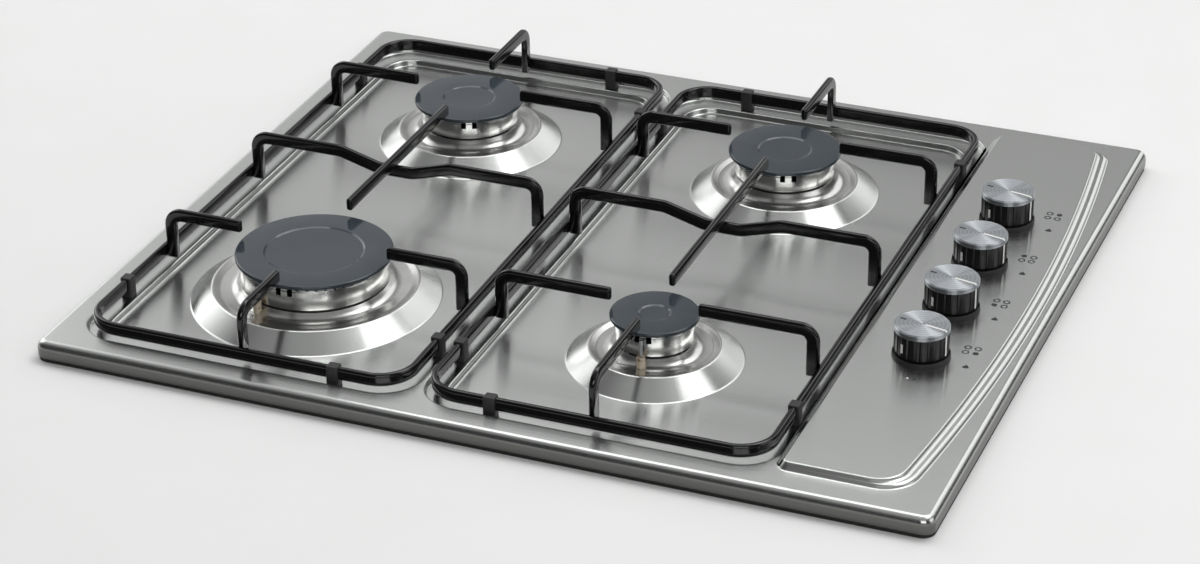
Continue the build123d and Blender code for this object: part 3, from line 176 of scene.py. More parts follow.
def mesh_object(name, parts, materials, grain=None, tones=None):
    """One smooth-shaded mesh from parts of (points in mm, faces, material number), with doubles merged.
    grain gives each point's place along and across the surface's brush lines, for a map of that name, and
    tones gives each point's share of the material's second tone, for an attribute of that name."""
    mesh = bpy.data.meshes.new(name)
    points, faces, numbers = [], [], []
    count = 0
    for spots, sides, number in parts:
        points.append(np.asarray(spots, float))
        faces += (np.asarray(sides) + count).tolist()
        numbers += [number] * len(sides)
        count += len(spots)
    mesh.from_pydata((np.concatenate(points) * MM).tolist(), [], faces)
    mesh.polygons.foreach_set("material_index", numbers)
    for material in materials:
        mesh.materials.append(material)
    form = bmesh.new()
    form.from_mesh(mesh)
    bmesh.ops.remove_doubles(form, verts=form.verts, dist=MERGE * MM)
    form.to_mesh(mesh)
    form.free()
    mesh.polygons.foreach_set("use_smooth", [True] * len(mesh.polygons))
    places = np.empty(len(mesh.vertices) * 3)
    mesh.vertices.foreach_get("co", places)
    places = places.reshape(-1, 3) / MM
    if grain:
        corners = np.empty(len(mesh.loops), int)
        mesh.loops.foreach_get("vertex_index", corners)
        brushed = grain(places)[corners] / GRAIN_UNIT
        mesh.uv_layers.new(name="grain").data.foreach_set("uv", brushed.ravel())
    if tones:
        mesh.attributes.new("tones", "FLOAT", "POINT").data.foreach_set("value", tones(places))
    made = bpy.data.objects.new(name, mesh)
    bpy.context.scene.collection.objects.link(made)
    return made


def rounded_loop(half_length, half_width, corner, centre=(0, 0), steps=10):
    """Points round a rounded rectangle: four quarter arcs of equal angles, joined by its straight sides."""
    quarter = np.linspace(0, math.pi / 2, steps + 1)
    angles = (quarter + np.arange(4)[:, None] * math.pi / 2).ravel()
    side_x = np.repeat([1, -1, -1, 1], steps + 1) * (half_length - corner)
    side_y = np.repeat([1, 1, -1, -1], steps + 1) * (half_width - corner)
    x = centre[0] + side_x + corner * np.cos(angles)
    return np.stack([x, centre[1] + side_y + corner * np.sin(angles)], -1)


# Matt white paint, faintly uneven in clouds 60 mm across.
matt_paint = {"Roughness": 0.9, "Specular IOR Level": 0.0}
painted_board = clouded("painted_board", 60, WORKTOP_COLOUR, "#ffffff", matt_paint)
worktop_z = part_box("edge_seal")[0][2] / MM
board_loops = [rounded_loop(*WORKTOP_HALF, WORKTOP_CORNER), rounded_loop(*WORKTOP_HOLE, HOLE_CORNER)]
worktop = mesh_object("worktop", [(*flat_fill(board_loops, worktop_z), 0)], [painted_board])


# The light: soft boxes at the sides, overhead and behind the camera, in a room whose back wall is grey at
# the left and white at the right, with a dark gap between. The steel takes its greys from the wall, its
# bright lines from the white part, and its dark lines from the gap, the far right and the dark front.
ROOM_FRONT = 0.05
ROOM_DEPTH = (-0.1, 0.5)  # where the back wall's glow starts and is full, towards the back
BACK_WALL = (  # place across the wall and its strength there
    (-1.0, 1.0), (-0.74, 1.0), (-0.56, 0.66), (-0.43, 0.62), (-0.36, 0.52), (-0.27, 0.33), (-0.17, 0.33),
    (-0.13, 0.12), (-0.03, 0.12), (0.03, 1.25), (0.41, 1.25), (0.47, 0.10), (0.75, 0.10), (0.90, 0.6),
    (1.0, 0.6),
)
WALL_MOST = 1.25
WALL_FOOT = (-0.08, 0.08)  # where its glow starts and is full, above its foot's line
FOOT_SLOPE = -0.5  # of that line, across
CEILING = (0.72, 0.92)  # how high its glow starts and is full
CEILING_POWER = 0.26
SMOOTH = {"interpolation_type": "SMOOTHSTEP"}
MULTIPLY_ADD = {"operation": "MULTIPLY_ADD"}
BOX_AIM = Vector((0, 0, 0.05))
BOXES = {  # place, size and power
    "left_box": ((-1.7, 0.7, 1.05), (1.2, 1.2), 6),
    "right_box": ((1.9, 0.0, 0.9), (1.2, 1.2), 6),
    "corner_box": ((0.93, 0.53, 1.95), (0.8, 0.8), 5),
    "top_box": ((-0.2, 0.9, 2.0), (1.6, 1.0), 12),
    "front_box": ((1.0, -2.4, 1.5), (1.8, 1.0), 18),
}

room = bpy.data.worlds.new("studio")
bpy.context.scene.world = room
room.use_nodes = True
room.node_tree.nodes.clear()
tree = room.node_tree
direction = add_node(tree, "ShaderNodeTexCoord").outputs["Generated"]
axes = add_node(tree, "ShaderNodeSeparateXYZ", inputs={"Vector": direction})
across = add_node(tree, "ShaderNodeMapRange", inputs={"Value": axes.outputs["X"], "From Min": -1.0})
wall = add_node(tree, "ShaderNodeValToRGB", inputs={"Fac": across.outputs[0]})
while len(wall.color_ramp.elements) < len(BACK_WALL):
    wall.color_ramp.elements.new(1.0)
for stop, (place, power) in zip(wall.color_ramp.elements, BACK_WALL):
    stop.position = (place + 1) / 2
    stop.color = (*[power / WALL_MOST] * 3, 1)
above_foot = add_node(tree, "ShaderNodeMath", MULTIPLY_ADD, {
    0: axes.outputs["X"], 1: FOOT_SLOPE, 2: axes.outputs["Z"],
})
foot = add_node(tree, "ShaderNodeMapRange", SMOOTH, {
    "Value": above_foot.outputs[0], "From Min": WALL_FOOT[0], "From Max": WALL_FOOT[1], "To Max": WALL_MOST,
})
depth = add_node(tree, "ShaderNodeMapRange", SMOOTH, {
    "Value": axes.outputs["Y"], "From Min": ROOM_DEPTH[0], "From Max": ROOM_DEPTH[1],
})
ceiling = add_node(tree, "ShaderNodeMapRange", SMOOTH, {
    "Value": axes.outputs["Z"], "From Min": CEILING[0], "From Max": CEILING[1], "To Max": CEILING_POWER,
})
wall_glow = add_node(tree, "ShaderNodeMath", {"operation": "MULTIPLY"}, {
    0: wall.outputs[0], 1: foot.outputs[0],
})
room_glow = add_node(tree, "ShaderNodeMath", MULTIPLY_ADD, {
    0: wall_glow.outputs[0], 1: depth.outputs[0], 2: ROOM_FRONT,
})
glow = add_node(tree, "ShaderNodeMath", inputs={0: ceiling.outputs[0], 1: room_glow.outputs[0]})
sky = add_node(tree, "ShaderNodeBackground", inputs={"Color": (1, 1, 1, 1), "Strength": glow.outputs[0]})
add_node(tree, "ShaderNodeOutputWorld", inputs={"Surface": sky.outputs[0]})

for name, (place, size, power) in BOXES.items():
    lamp = bpy.data.lights.new(name, "AREA")
    lamp.shape = "RECTANGLE"
    lamp.size, lamp.size_y = size
    lamp.energy = power
    holder = bpy.data.objects.new(name, lamp)
    bpy.context.scene.collection.objects.link(holder)
    holder.location = place
    holder.rotation_euler = (Vector(place) - BOX_AIM).to_track_quat("Z", "Y").to_euler()


# The top: one sheet of brushed stainless steel, pressed into two wells with a ledge, four burner domes and a
# raised control field, with its edge rolled down and hemmed. The dishes round the burners are polished.
RIM_Z = 56.0
HEM_Z = 45.0
SHEET = 0.8
PANEL_HALF = (290.0, 255.0)
PANEL_CORNER = 8.0
PANEL_ROLL = 5.0
HEM = 6.0
HEM_ROUND = 1.0
WELL_X = {"left": -158.8, "right": 72.5}
WELL_Y = -2.0
WELL_HALF = (113.7, 233.7)
WELL_CORNER = 26.0
WELL_ROUND = 1.2
LEDGE_Z = 52.0
LEDGE_WIDTH = 12.4
LEDGE_CORNER = 20.0
FLOOR_Z = 48.0
FLAT_MARGIN = 0.5
PLATEAU_LEFT = 187.5
PLATEAU_RIGHT = 282.5
PLATEAU_FRONT = -233.0
PLATEAU_BACK = 237.0
PLATEAU_BOW = 1800.0
PLATEAU_CORNERS = (8.0, 22.0, 15.0, 8.0)
ARC_POINTS = 11
PLATEAU_SHELF = 4.2
PLATEAU_STEP = 2.0
PLATEAU_ROUND = 1.6
PLATEAU_Z = 60.0
STEM_HOLE = 7.5
STEM_BAND = [(STEM_HOLE + FLAT_MARGIN, PLATEAU_Z), (STEM_HOLE, PLATEAU_Z)]
BURNER_Y = {"front": -124.0, "rear": 120.0}
CROWN = {"front_left": 47.5, "rear_left": 33.3, "rear_right": 33.3, "front_right": 24.2}
DOME = {"front_left": 66.0, "rear_left": 49.0, "rear_right": 49.0, "front_right": 41.0}
DOME_SLOPE = 14.3
DOME_FOOT = 3.0
DOME_RISE = 2.3
DISH_LEVEL = 0.3
DISH_RUN = 5.0  # from the ridge in to where the dish lies flat
DISH_EASE = 0.3
CROWN_FOOT = {"front_left": 62.0, "rear_left": 64.0, "rear_right": 64.0, "front_right": 62.5}
BEAD_GAP = 1.5  # under the crown
BEAD = (4.0, -0.3, -0.8, -1.0)  # crown's edge to the bead's foot, its top and its inner foot
NECK_INSET = 6.7
DOME_ROUNDS = (3.0, 2.5, 6.0, 9.0, 0.2, 0.2, 0.1)  # from the dome's foot in to the seat
STUD_RADIUS = 2.0
STUD_LOW = 47.2
STUD_CHAMFER = 0.4
STUD_SIDES = (280.341, 195.0)
STUD_ENDS = (140.0, 245.341)
GRAIN_WIDTH = 0.6  # mm across a brush line, drawn three times as coarse as it is
GRAIN_LENGTH = 80.0
GRAIN_LEAN = 0.37  # across the lines for each mm up the edge
# The painted shade on the bent-down edge: its strength, how far below the rim it starts, and over how many mm
# it comes in.
EDGE_SHADE = 0.85
EDGE_SHADE_TOP = 1.5
EDGE_SHADE_FADE = 3.0


def brushed_steel():
    """Stainless steel brushed along the front edge: a soft grey sheen drawn out across the lines, and a
    darker tone, which tones gives, painted on the bent-down edge: painted shade in place of a dark reflection."""
    material, tree = empty_material("brushed_stainless")
    place = add_node(tree, "ShaderNodeTexCoord").outputs["Object"]
    stretch = add_node(tree, "ShaderNodeMapping", inputs={
        "Vector": place, "Scale": (1 / (GRAIN_LENGTH * MM), 1 / (GRAIN_WIDTH * MM), 1 / (GRAIN_WIDTH * MM)),
    })
    lines = add_node(tree, "ShaderNodeTexNoise", inputs={
        "Vector": stretch.outputs[0], "Scale": 1.0, "Detail": 3.0,
    })
    tone = add_node(tree, "ShaderNodeMix", {"data_type": "RGBA"}, {
        "Factor": lines.outputs[0], 6: linear("#c6c8c6"), 7: linear("#d2d4d2"),
    })
    gloss = add_node(tree, "ShaderNodeMapRange", inputs={
        "Value": lines.outputs[0], "To Min": 0.2, "To Max": 0.235,
    })
    relief = add_node(tree, "ShaderNodeBump", inputs={
        "Height": lines.outputs[0], "Strength": 0.02, "Distance": 0.1 * MM,
    })
    edge = add_node(tree, "ShaderNodeAttribute", {"attribute_name": "tones"})
    # The dark tone is painted shade on the bent-down edge, in place of a dark reflection.
    dimmed = add_node(tree, "ShaderNodeMix", {"data_type": "RGBA"}, {
        "Factor": edge.outputs["Fac"], 6: tone.outputs[2], 7: linear("#4a4a46"),
    })
    along = add_node(tree, "ShaderNodeTangent", {"direction_type": "UV_MAP", "uv_map": "grain"})
    shade(tree, {
        "Base Color": dimmed.outputs[2], "Metallic": 1.0, "Roughness": gloss.outputs[0],
        "Anisotropic": 0.9, "Tangent": along.outputs[0], "Normal": relief.outputs[0],
    })
    return material


def grid(points):
    """Quads over closed rows of points that run inward or up: points and faces."""
    rows, columns = points.shape[:2]
    index = np.arange(rows * columns).reshape(rows, columns)
    after = np.roll(index, -1, axis=1)
    quads = np.stack([index[:-1], after[:-1], after[1:], index[1:]], -1)
    return points.reshape(-1, 3), quads.reshape(-1, 4)


def softened(corners, radii, steps=6):
    """A polyline with its inner corners turned into arcs: each is the rational quadratic curve between the
    two tangent points, whose middle weight is the cosine of half the turn. radii has one for each corner."""
    corners = np.asarray(corners, float)
    line = [corners[:1]]
    for before, corner, after, radius in zip(corners[:-2], corners[1:-1], corners[2:], radii):
        into = (corner - before) / np.linalg.norm(corner - before)
        out = (after - corner) / np.linalg.norm(after - corner)
        turn = math.acos(np.clip(into @ out, -1, 1))
        reach = radius * math.tan(turn / 2)
        weight = math.cos(turn / 2)
        s = np.linspace(0, 1, steps + 1)[:, None]
        share = (1 - s) ** 2, 2 * weight * s * (1 - s), s**2
        arc = share[0] * (corner - into * reach) + share[1] * corner + share[2] * (corner + out * reach)
        line.append(arc / sum(share))
    return np.concatenate(line + [corners[-1:]])


def turned(profile, centre, columns=128):
    """A surface of revolution: profile rows are (radius, height), columns go round the upright axis."""
    angles = np.linspace(0, 2 * math.pi, columns, endpoint=False)
    radius, height = profile[:, :1], profile[:, 1:]
    x, y = centre[0] + radius * np.cos(angles), centre[1] + radius * np.sin(angles)
    return np.stack([x, y, np.broadcast_to(height, x.shape)], -1)


def at_height(loop, height):
    """A flat loop's points, with that height as their third number."""
    return np.column_stack([loop, np.full(len(loop), height)])


def plateau_loop(inset, shelf):
    """The control field's outline moved in by inset, its bowed side by shelf more: corner arcs that touch the
    straight sides and the bow, whose centre stays where it is."""
    left, front, rear = PLATEAU_LEFT + inset, PLATEAU_FRONT + inset, PLATEAU_BACK - inset
    bow, middle = PLATEAU_BOW - inset, (PLATEAU_FRONT + PLATEAU_BACK) / 2
    centre_x = PLATEAU_RIGHT - shelf - PLATEAU_BOW
    r_left_front, r_right_front, r_right_back, r_left_back = (r - inset for r in PLATEAU_CORNERS)

    def touching(radius, y):
        x = centre_x + math.sqrt((bow - radius) ** 2 - (y - middle) ** 2)
        return x, y, math.atan2(y - middle, x - centre_x)

    def arc(x, y, radius, start, end, count):
        angles = np.linspace(start, end, count)
        return np.stack([x + radius * np.cos(angles), y + radius * np.sin(angles)], -1)

    front_x, front_y, front_turn = touching(r_right_front, front + r_right_front)
    back_x, back_y, back_turn = touching(r_right_back, rear - r_right_back)
    quarter = math.pi / 2
    return np.concatenate([
        arc(front_x, front_y, r_right_front, -quarter, front_turn, ARC_POINTS),
        arc(centre_x, middle, bow, front_turn, back_turn, 42)[1:-1],
        arc(back_x, back_y, r_right_back, back_turn, quarter, ARC_POINTS),
        arc(left + r_left_back, rear - r_left_back, r_left_back, quarter, 2 * quarter, ARC_POINTS),
        arc(left + r_left_front, front + r_left_front, r_left_front, 2 * quarter, 3 * quarter, ARC_POINTS),
    ])


def burner_centre(burner):
    row, column = burner.split("_")
    return WELL_X[column], BURNER_Y[row]


def rim_rows():
    """Loops from the hem's inner edge, out and up the skirt, over the roll and onto the flat rim."""
    profile = softened(
        [(HEM, HEM_Z), (0, HEM_Z), (0, RIM_Z), (PANEL_ROLL + FLAT_MARGIN, RIM_Z)], (HEM_ROUND, PANEL_ROLL), 9
    )
    return np.stack([
        at_height(rounded_loop(PANEL_HALF[0] - s, PANEL_HALF[1] - s, PANEL_CORNER - s), z) for s, z in profile
    ])


def well_rows(column):
    """Loops from the rim, down the upper wall, across the ledge and down the lower wall to the floor."""
    centre = (WELL_X[column], WELL_Y)
    margin = WELL_ROUND + FLAT_MARGIN
    upper, lower = (
        softened([(-margin, high), (0, high), (0, low), (margin, low)], (WELL_ROUND, WELL_ROUND))
        for high, low in ((RIM_Z, LEDGE_Z), (LEDGE_Z, FLOOR_Z))
    )
    half = np.array(WELL_HALF)
    outer = [at_height(rounded_loop(*(half - s), WELL_CORNER - s, centre), z) for s, z in upper]
    half = half - LEDGE_WIDTH
    inner = [at_height(rounded_loop(*(half - s), LEDGE_CORNER - s, centre), z) for s, z in lower]
    return np.stack(outer + inner)


def plateau_rows():
    """Loops from the rim up the two sloping steps; only the bowed side has a shelf between them."""
    step, low, high = PLATEAU_STEP, RIM_Z, PLATEAU_Z
    corners = [
        (-1 - FLAT_MARGIN, 0, low), (0, 0, low), (step, 0, low + step), (step, PLATEAU_SHELF, low + step),
        (2 * step, PLATEAU_SHELF, high), (2 * step + 1 + FLAT_MARGIN, PLATEAU_SHELF, high),
    ]
    profile = softened(corners, [PLATEAU_ROUND] * 4, 4)
    return np.stack([at_height(plateau_loop(inset, shelf), z) for inset, shelf, z in profile])


def dome_rows(burner):
    """Rings from the well's floor, over the dome's ridge, down into the dish, over the bead that keeps spills
    from running under the crown, and in to the neck's hole."""
    ridge = DOME[burner]
    dish, bead = RIM_Z + DISH_LEVEL, CROWN_FOOT[burner] - BEAD_GAP
    foot, outer, inner, seat = (CROWN[burner] + reach for reach in BEAD)
    corners = [
        (ridge + DOME_SLOPE + DOME_FOOT, FLOOR_Z), (ridge + DOME_SLOPE, FLOOR_Z), (ridge, RIM_Z + DOME_RISE),
        (ridge - DISH_RUN, dish + DISH_EASE), (foot, dish), (outer, bead), (inner, bead), (seat, dish),
        (CROWN[burner] - NECK_INSET, dish),
    ]
    profile = softened(corners, DOME_ROUNDS, 10)
    return turned(np.insert(profile, -1, profile[-1] + (FLAT_MARGIN, 0), axis=0), burner_centre(burner))


def stud_places():
    return [(x * i, y * j) for x, y in (STUD_SIDES, STUD_ENDS) for i in (-1, 1) for j in (-1, 1)]


def stud(x, y):
    """A weld stud under the rim: a turned rod with a broken end, its upper end inside the sheet."""
    neck = STUD_RADIUS - STUD_CHAMFER
    profile = [(0, STUD_LOW), (neck, STUD_LOW), (STUD_RADIUS, STUD_LOW + STUD_CHAMFER)]
    profile += [(STUD_RADIUS, RIM_Z - SHEET / 2), (0, RIM_Z - SHEET / 2)]
    return turned(np.array(profile), (x, y), 16)


def panel_parts():
    """The sheet in parts: bands over the rings of all that slopes, and flat fills between their outer rings.
    Each dome is split at its ridge, and inside that the steel is polished."""
    rim = rim_rows()
    wells = {column: well_rows(column) for column in COLUMNS}
    plateau = plateau_rows()
    domes = {burner: dome_rows(burner) for burner in BURNERS}
    bands = [turned(np.array(STEM_BAND), knob_centre(burner), 48) for burner in BURNERS]
    rings = [rows[0, :, :2] for rows in wells.values()]
    parts = [(*grid(rim), 0), (*grid(plateau), 0)]
    parts.append((*flat_fill([rim[-1, :, :2], *rings, plateau[0, :, :2]], RIM_Z), 0))
    parts += [(*grid(band), 0) for band in bands]
    parts.append((*flat_fill([plateau[-1, :, :2], *[band[0, :, :2] for band in bands]], PLATEAU_Z), 0))
    for column, rows in wells.items():
        rings = [domes[burner][0, :, :2] for burner in BURNERS if burner.endswith(column)]
        parts.append((*flat_fill([rows[-1, :, :2], *rings], FLOOR_Z), 0))
        parts.append((*grid(rows), 0))
    for burner, rows in domes.items():
        crest = int(np.argmin(np.abs(rows[:, 0, 0] - burner_centre(burner)[0] - DOME[burner])))
        parts.append((*grid(rows[: crest + 1]), 0))
        parts.append((*grid(rows[crest:]), 1))
    return parts


def knob_centre(burner):
    low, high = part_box("knob_face_" + burner)
    return (low[0] + high[0]) / 2 / MM, (low[1] + high[1]) / 2 / MM


def sheet_grain(points):
    """Along and across the stretch of the sheen: down the front and back, and round the rolled edge."""
    return np.stack([points[:, 1] - points[:, 2], points[:, 0] + GRAIN_LEAN * points[:, 2]], -1)


def edge_shade(points):
    """The share of painted shade: none on the rim, and rising to its full strength down the panel's edge."""
    depth = (RIM_Z - EDGE_SHADE_TOP - points[:, 2]) / EDGE_SHADE_FADE
    outside = np.max(np.abs(points[:, :2]) - PANEL_HALF, axis=1) > -PANEL_ROLL - 0.1
    return np.where(outside, np.clip(depth, 0, 1), 0) * EDGE_SHADE


# The same steel buffed after pressing: bright, softly blurred, with faint clouds left by the wheel.
metal = {"Metallic": 1.0}
buffed = clouded("polished_stainless", 12, "#c8c8c6", "#dadad8", metal, gloss=(0.22, 0.28))
# The panel's bent-down edge is darkened by painted shade through its tones attribute.
top = mesh_object("pressed_top", panel_parts(), [brushed_steel(), buffed], sheet_grain, edge_shade)
wall = top.modifiers.new("sheet", "SOLIDIFY")
wall.thickness = SHEET * MM
wall.offset = -1
studs = mesh_object("weld_studs", [(*grid(stud(x, y)), 0) for x, y in stud_places()], [buffed])
for made in (top, studs):
    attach(made, "root")
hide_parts("top_panel")


# The burner crowns: turned aluminium rings with milled flame ports under the lid and a window with a post in
# front of the ignition pin. Each drops into the neck of its cup and lifts off for washing.
CROWN_TOP = 78.0
CROWN_WALL = 3.0
CROWN_FLOOR = 2.5
CROWN_EDGE = 0.5
LIP_DROP = 3.4
LIP_STEP = 0.45
VENTURI = (7.0, 10.0)
VENTURI_LOW = 48.0
VENTURI_DROP = 5.0
LOCATING_SKIRT = (9.1, 11.1)  # crown's edge to the skirt's outer and inner faces
SKIRT_DEPTH = 5.0
PORT_WIDTH = 1.6
PORT_DEPTH = 2.6
PORT_PITCH = 6.0
WINDOW_HEIGHT = 6.5
WINDOW_SLOT = 3.4
WINDOW_POST = 4.2
WINDOW_ANGLE = {"front_left": -88.0, "rear_left": -67.0, "rear_right": -67.0, "front_right": -87.0}
STEP_GAP = 0.01  # mm between the two columns of points that make a port's upright side
RING_TURN = 30.0  # mm across a tool ring's map for each radian
RING_DRIFT = 60.0  # changes of tone to the metre along a tool ring
TOOL_RING = 0.4  # mm from one tool ring to the next
SHARP_TURN = 38.0


def turned_aluminium():
    """Turned and degreased aluminium: pale, drawn-out glints across the fine tool rings."""
    material, tree = empty_material("turned_aluminium")
    place = add_node(tree, "ShaderNodeTexCoord").outputs["Object"]
    stretch = add_node(tree, "ShaderNodeMapping", inputs={
        "Vector": place, "Scale": (RING_DRIFT, RING_DRIFT, 1 / (TOOL_RING * MM)),
    })
    rings = add_node(tree, "ShaderNodeTexNoise", inputs={
        "Vector": stretch.outputs[0], "Scale": 1.0, "Detail": 2.0,
    })
    along = add_node(tree, "ShaderNodeTangent", {"direction_type": "UV_MAP", "uv_map": "grain"})
    two_toned(tree, rings.outputs[0], "#dcdcda", "#eeeeec", {
        "Metallic": 1.0, "Roughness": 0.18, "Anisotropic": 0.6, "Tangent": along.outputs[0],
    })
    return material


def notch_columns(burner):
    """Angles round the crown and how far its top edge is cut down at each: four columns for a notch, two of
    them a hair apart at each side, and one between neighbouring notches."""
    radius = CROWN[burner]
    count = round(2 * math.pi * radius / PORT_PITCH)
    window = (WINDOW_POST / 2 + WINDOW_SLOT + PORT_WIDTH) / radius
    ports = (np.arange(count) + 0.5) * 2 * math.pi / count
    ports = ports[(ports > window) & (ports < 2 * math.pi - window)]
    slots = np.array([-1, 1]) * (WINDOW_POST + WINDOW_SLOT) / 2 / radius
    middles = np.concatenate([ports, slots])
    half = np.concatenate([np.full(len(ports), PORT_WIDTH / 2), np.full(2, WINDOW_SLOT / 2)]) / radius
    cut = np.concatenate([np.full(len(ports), PORT_DEPTH), np.full(2, WINDOW_HEIGHT)])
    gap = STEP_GAP / radius
    angles = [middles - half - gap, middles - half, middles + half, middles + half + gap, middles]
    depths = [0 * cut, cut, cut, 0 * cut, cut]
    between = np.arange(count) * 2 * math.pi / count
    between = between[(between > window) & (between < 2 * math.pi - window)]
    angles = np.concatenate([*angles, between, [0.0]])
    depths = np.concatenate([*depths, 0 * between, [0.0]])
    order = np.argsort(np.mod(angles, 2 * math.pi))
    return angles[order] + math.radians(WINDOW_ANGLE[burner]), depths[order]


def crown_points(burner):
    """The crown's closed section turned round its axis, with the top of its wall lowered in every notch."""
    radius, foot = CROWN[burner], CROWN_FOOT[burner]
    lip, inside = radius - LIP_STEP, radius - CROWN_WALL
    neck, mouth = CROWN_TOP - LIP_DROP, CROWN_TOP - VENTURI_DROP
    skirt_out, skirt_in = (radius - inset for inset in LOCATING_SKIRT)
    bore, tube = VENTURI
    corners = [
        (skirt_out, foot), (radius, foot), (radius, neck), (lip, neck + LIP_STEP), (lip, CROWN_TOP),
        (inside, CROWN_TOP), (inside, foot + CROWN_FLOOR), (tube, foot + CROWN_FLOOR), (tube, mouth),
        (bore, mouth), (bore, VENTURI_LOW), (tube, VENTURI_LOW), (tube, foot), (skirt_in, foot),
        (skirt_in, foot - SKIRT_DEPTH), (skirt_out, foot - SKIRT_DEPTH), (skirt_out, foot),
    ]
    edge = CROWN_EDGE
    rounds = (edge, edge / 2, edge / 2, edge / 2, edge / 2, edge, edge, edge / 2) + (edge / 2,) * 7
    profile = softened(corners, rounds, 3)
    angles, cut = notch_columns(burner)
    lowered = np.minimum(profile[:, 1:], CROWN_TOP - cut)
    height = np.where(profile[:, :1] > inside - 1, lowered, profile[:, 1:])
    x, y = burner_centre(burner)
    return np.stack([x + profile[:, :1] * np.cos(angles), y + profile[:, :1] * np.sin(angles), height], -1)


def ring_grain(centre):
    """Round a turned piece the sheen is drawn out across the tool rings: along the section, not round it."""
    def along(points):
        offset = points[:, :2] - centre
        radius = np.linalg.norm(offset, axis=1)
        return np.stack([points[:, 2] - radius, np.arctan2(offset[:, 1], offset[:, 0]) * RING_TURN], -1)
    return along


def with_sharp_edges(made):
    """Keeps edges that turn by more than SHARP_TURN degrees crisp."""
    made.data.set_sharp_from_angle(angle=math.radians(SHARP_TURN))
    return made


aluminium = turned_aluminium()
for burner in BURNERS:
    rings = ring_grain(burner_centre(burner))
    crown = mesh_object("crown_ring_" + burner, [(*grid(crown_points(burner)), 0)], [aluminium], rings)
    with_sharp_edges(crown)
    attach(crown, "crown_" + burner)
    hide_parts("burner_crown_" + burner)


# The burner lids: pressed steel discs under grey vitreous enamel, with a rounded rim and a middle that lies a
# little lower. Three lugs under each keep it central on its crown.
CAP = {"front_left": 50.5, "rear_left": 37.8, "rear_right": 37.8, "front_right": 28.0}
CAP_DISH = {"front_left": 31.0, "rear_left": 17.0, "rear_right": 17.0, "front_right": 9.0}
CAP_THICK = 2.4
CAP_EDGE = 1.1
CAP_STEP = 0.6
CAP_STEP_WIDTH = 1.4
LUG = (1.5, 8.0, 3.0)  # thickness, width and drop
LUG_GAP = 1.5  # to the crown's wall
LUG_ROOT = 0.4
LUG_TURNS = (30, 150, 270)


def grey_enamel():
    """Vitreous enamel fired on steel: slate grey glass with a slight orange peel and hard highlights."""
    material, tree = empty_material("grey_enamel")
    place = add_node(tree, "ShaderNodeTexCoord").outputs["Object"]
    cloud = add_node(tree, "ShaderNodeTexNoise", inputs={
        "Vector": place, "Scale": 1 / (20 * MM), "Detail": 4.0,
    })
    peel = add_node(tree, "ShaderNodeTexNoise", inputs={
        "Vector": place, "Scale": 1 / (3 * MM), "Detail": 1.0,
    })
    relief = add_node(tree, "ShaderNodeBump", inputs={
        "Height": peel.outputs[0], "Strength": 0.05, "Distance": 0.2 * MM,
    })
    two_toned(tree, cloud.outputs[0], "#363d44", "#424a51", {
        "Roughness": 0.1, "IOR": 1.52, "Normal": relief.outputs[0],
    })
    return material


def box_points(half_x, half_y, low, high):
    """The eight corners of an upright box, as two rows of four from below to above."""
    x, y = np.array([1, -1, -1, 1]) * half_x, np.array([1, 1, -1, -1]) * half_y
    return np.stack([np.column_stack([x, y, np.full(4, z)]) for z in (low, high)])


def capped(rows):
    """Rows of a closed tube with its two ends drawn to their middles."""
    ends = [np.broadcast_to(row.mean(axis=0), row.shape) for row in (rows[0], rows[-1])]
    return np.concatenate([ends[0][None], rows, ends[1][None]])


def swung(points, turn, centre):
    """Points turned about an upright axis through centre."""
    c, s = math.cos(math.radians(turn)), math.sin(math.radians(turn))
    x, y = points[..., 0], points[..., 1]
    return np.stack([centre[0] + c * x - s * y, centre[1] + s * x + c * y, points[..., 2]], -1)


def lid_parts(burner):
    """The lid's section turned round its axis, and three blocks under it swung to their places."""
    radius, dish = CAP[burner], CAP_DISH[burner]
    low, high = CROWN_TOP, CROWN_TOP + CAP_THICK
    corners = [
        (0, low), (radius, low), (radius, high), (dish + CAP_STEP_WIDTH, high), (dish, high - CAP_STEP),
        (0, high - CAP_STEP),
    ]
    profile = softened(corners, (0.5, CAP_EDGE, 0.5, 0.5), 7)
    parts = [(*grid(turned(profile, burner_centre(burner))), 0)]
    thick, width, drop = LUG
    reach = CROWN[burner] - CROWN_WALL - LUG_GAP
    for turn in LUG_TURNS:
        lug = box_points(thick / 2, width / 2, low - drop, low + LUG_ROOT) + (reach, 0, 0)
        parts.append((*grid(swung(capped(lug), turn, burner_centre(burner))), 0))
    return parts


enamel = grey_enamel()
for burner in BURNERS:
    lid = mesh_object("lid_" + burner, lid_parts(burner), [enamel])
    with_sharp_edges(lid)
    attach(lid, "cap_" + burner)
    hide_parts("burner_cap_" + burner)


# The pan supports: flat steel bars bent on edge and welded to a closed rail, under glossy black enamel that
# rounds every edge. The cross bar dips in the middle, where the long bar lies in it.
BAR_DEPTH = 8.5
BAR_THICK = 4.4
BAR_ROUND = 1.9
TIP_ROUND = 1.7
RAIL_HALF = (108.0, 228.0)
RAIL_CORNER = 22.0
RAIL_LOW = 56.8
FINGER_TOP = 92.0
FINGER_BEND = 7.75
TIP_GAP = 0.6
DIP = 7.9
DIP_FLAT = 12.0
DIP_KINK = 40.0
KINK_BEND = 14.0
WELD_SINK = 0.6
UPRIGHT_LOW = 0.5  # above the rail's lower edge


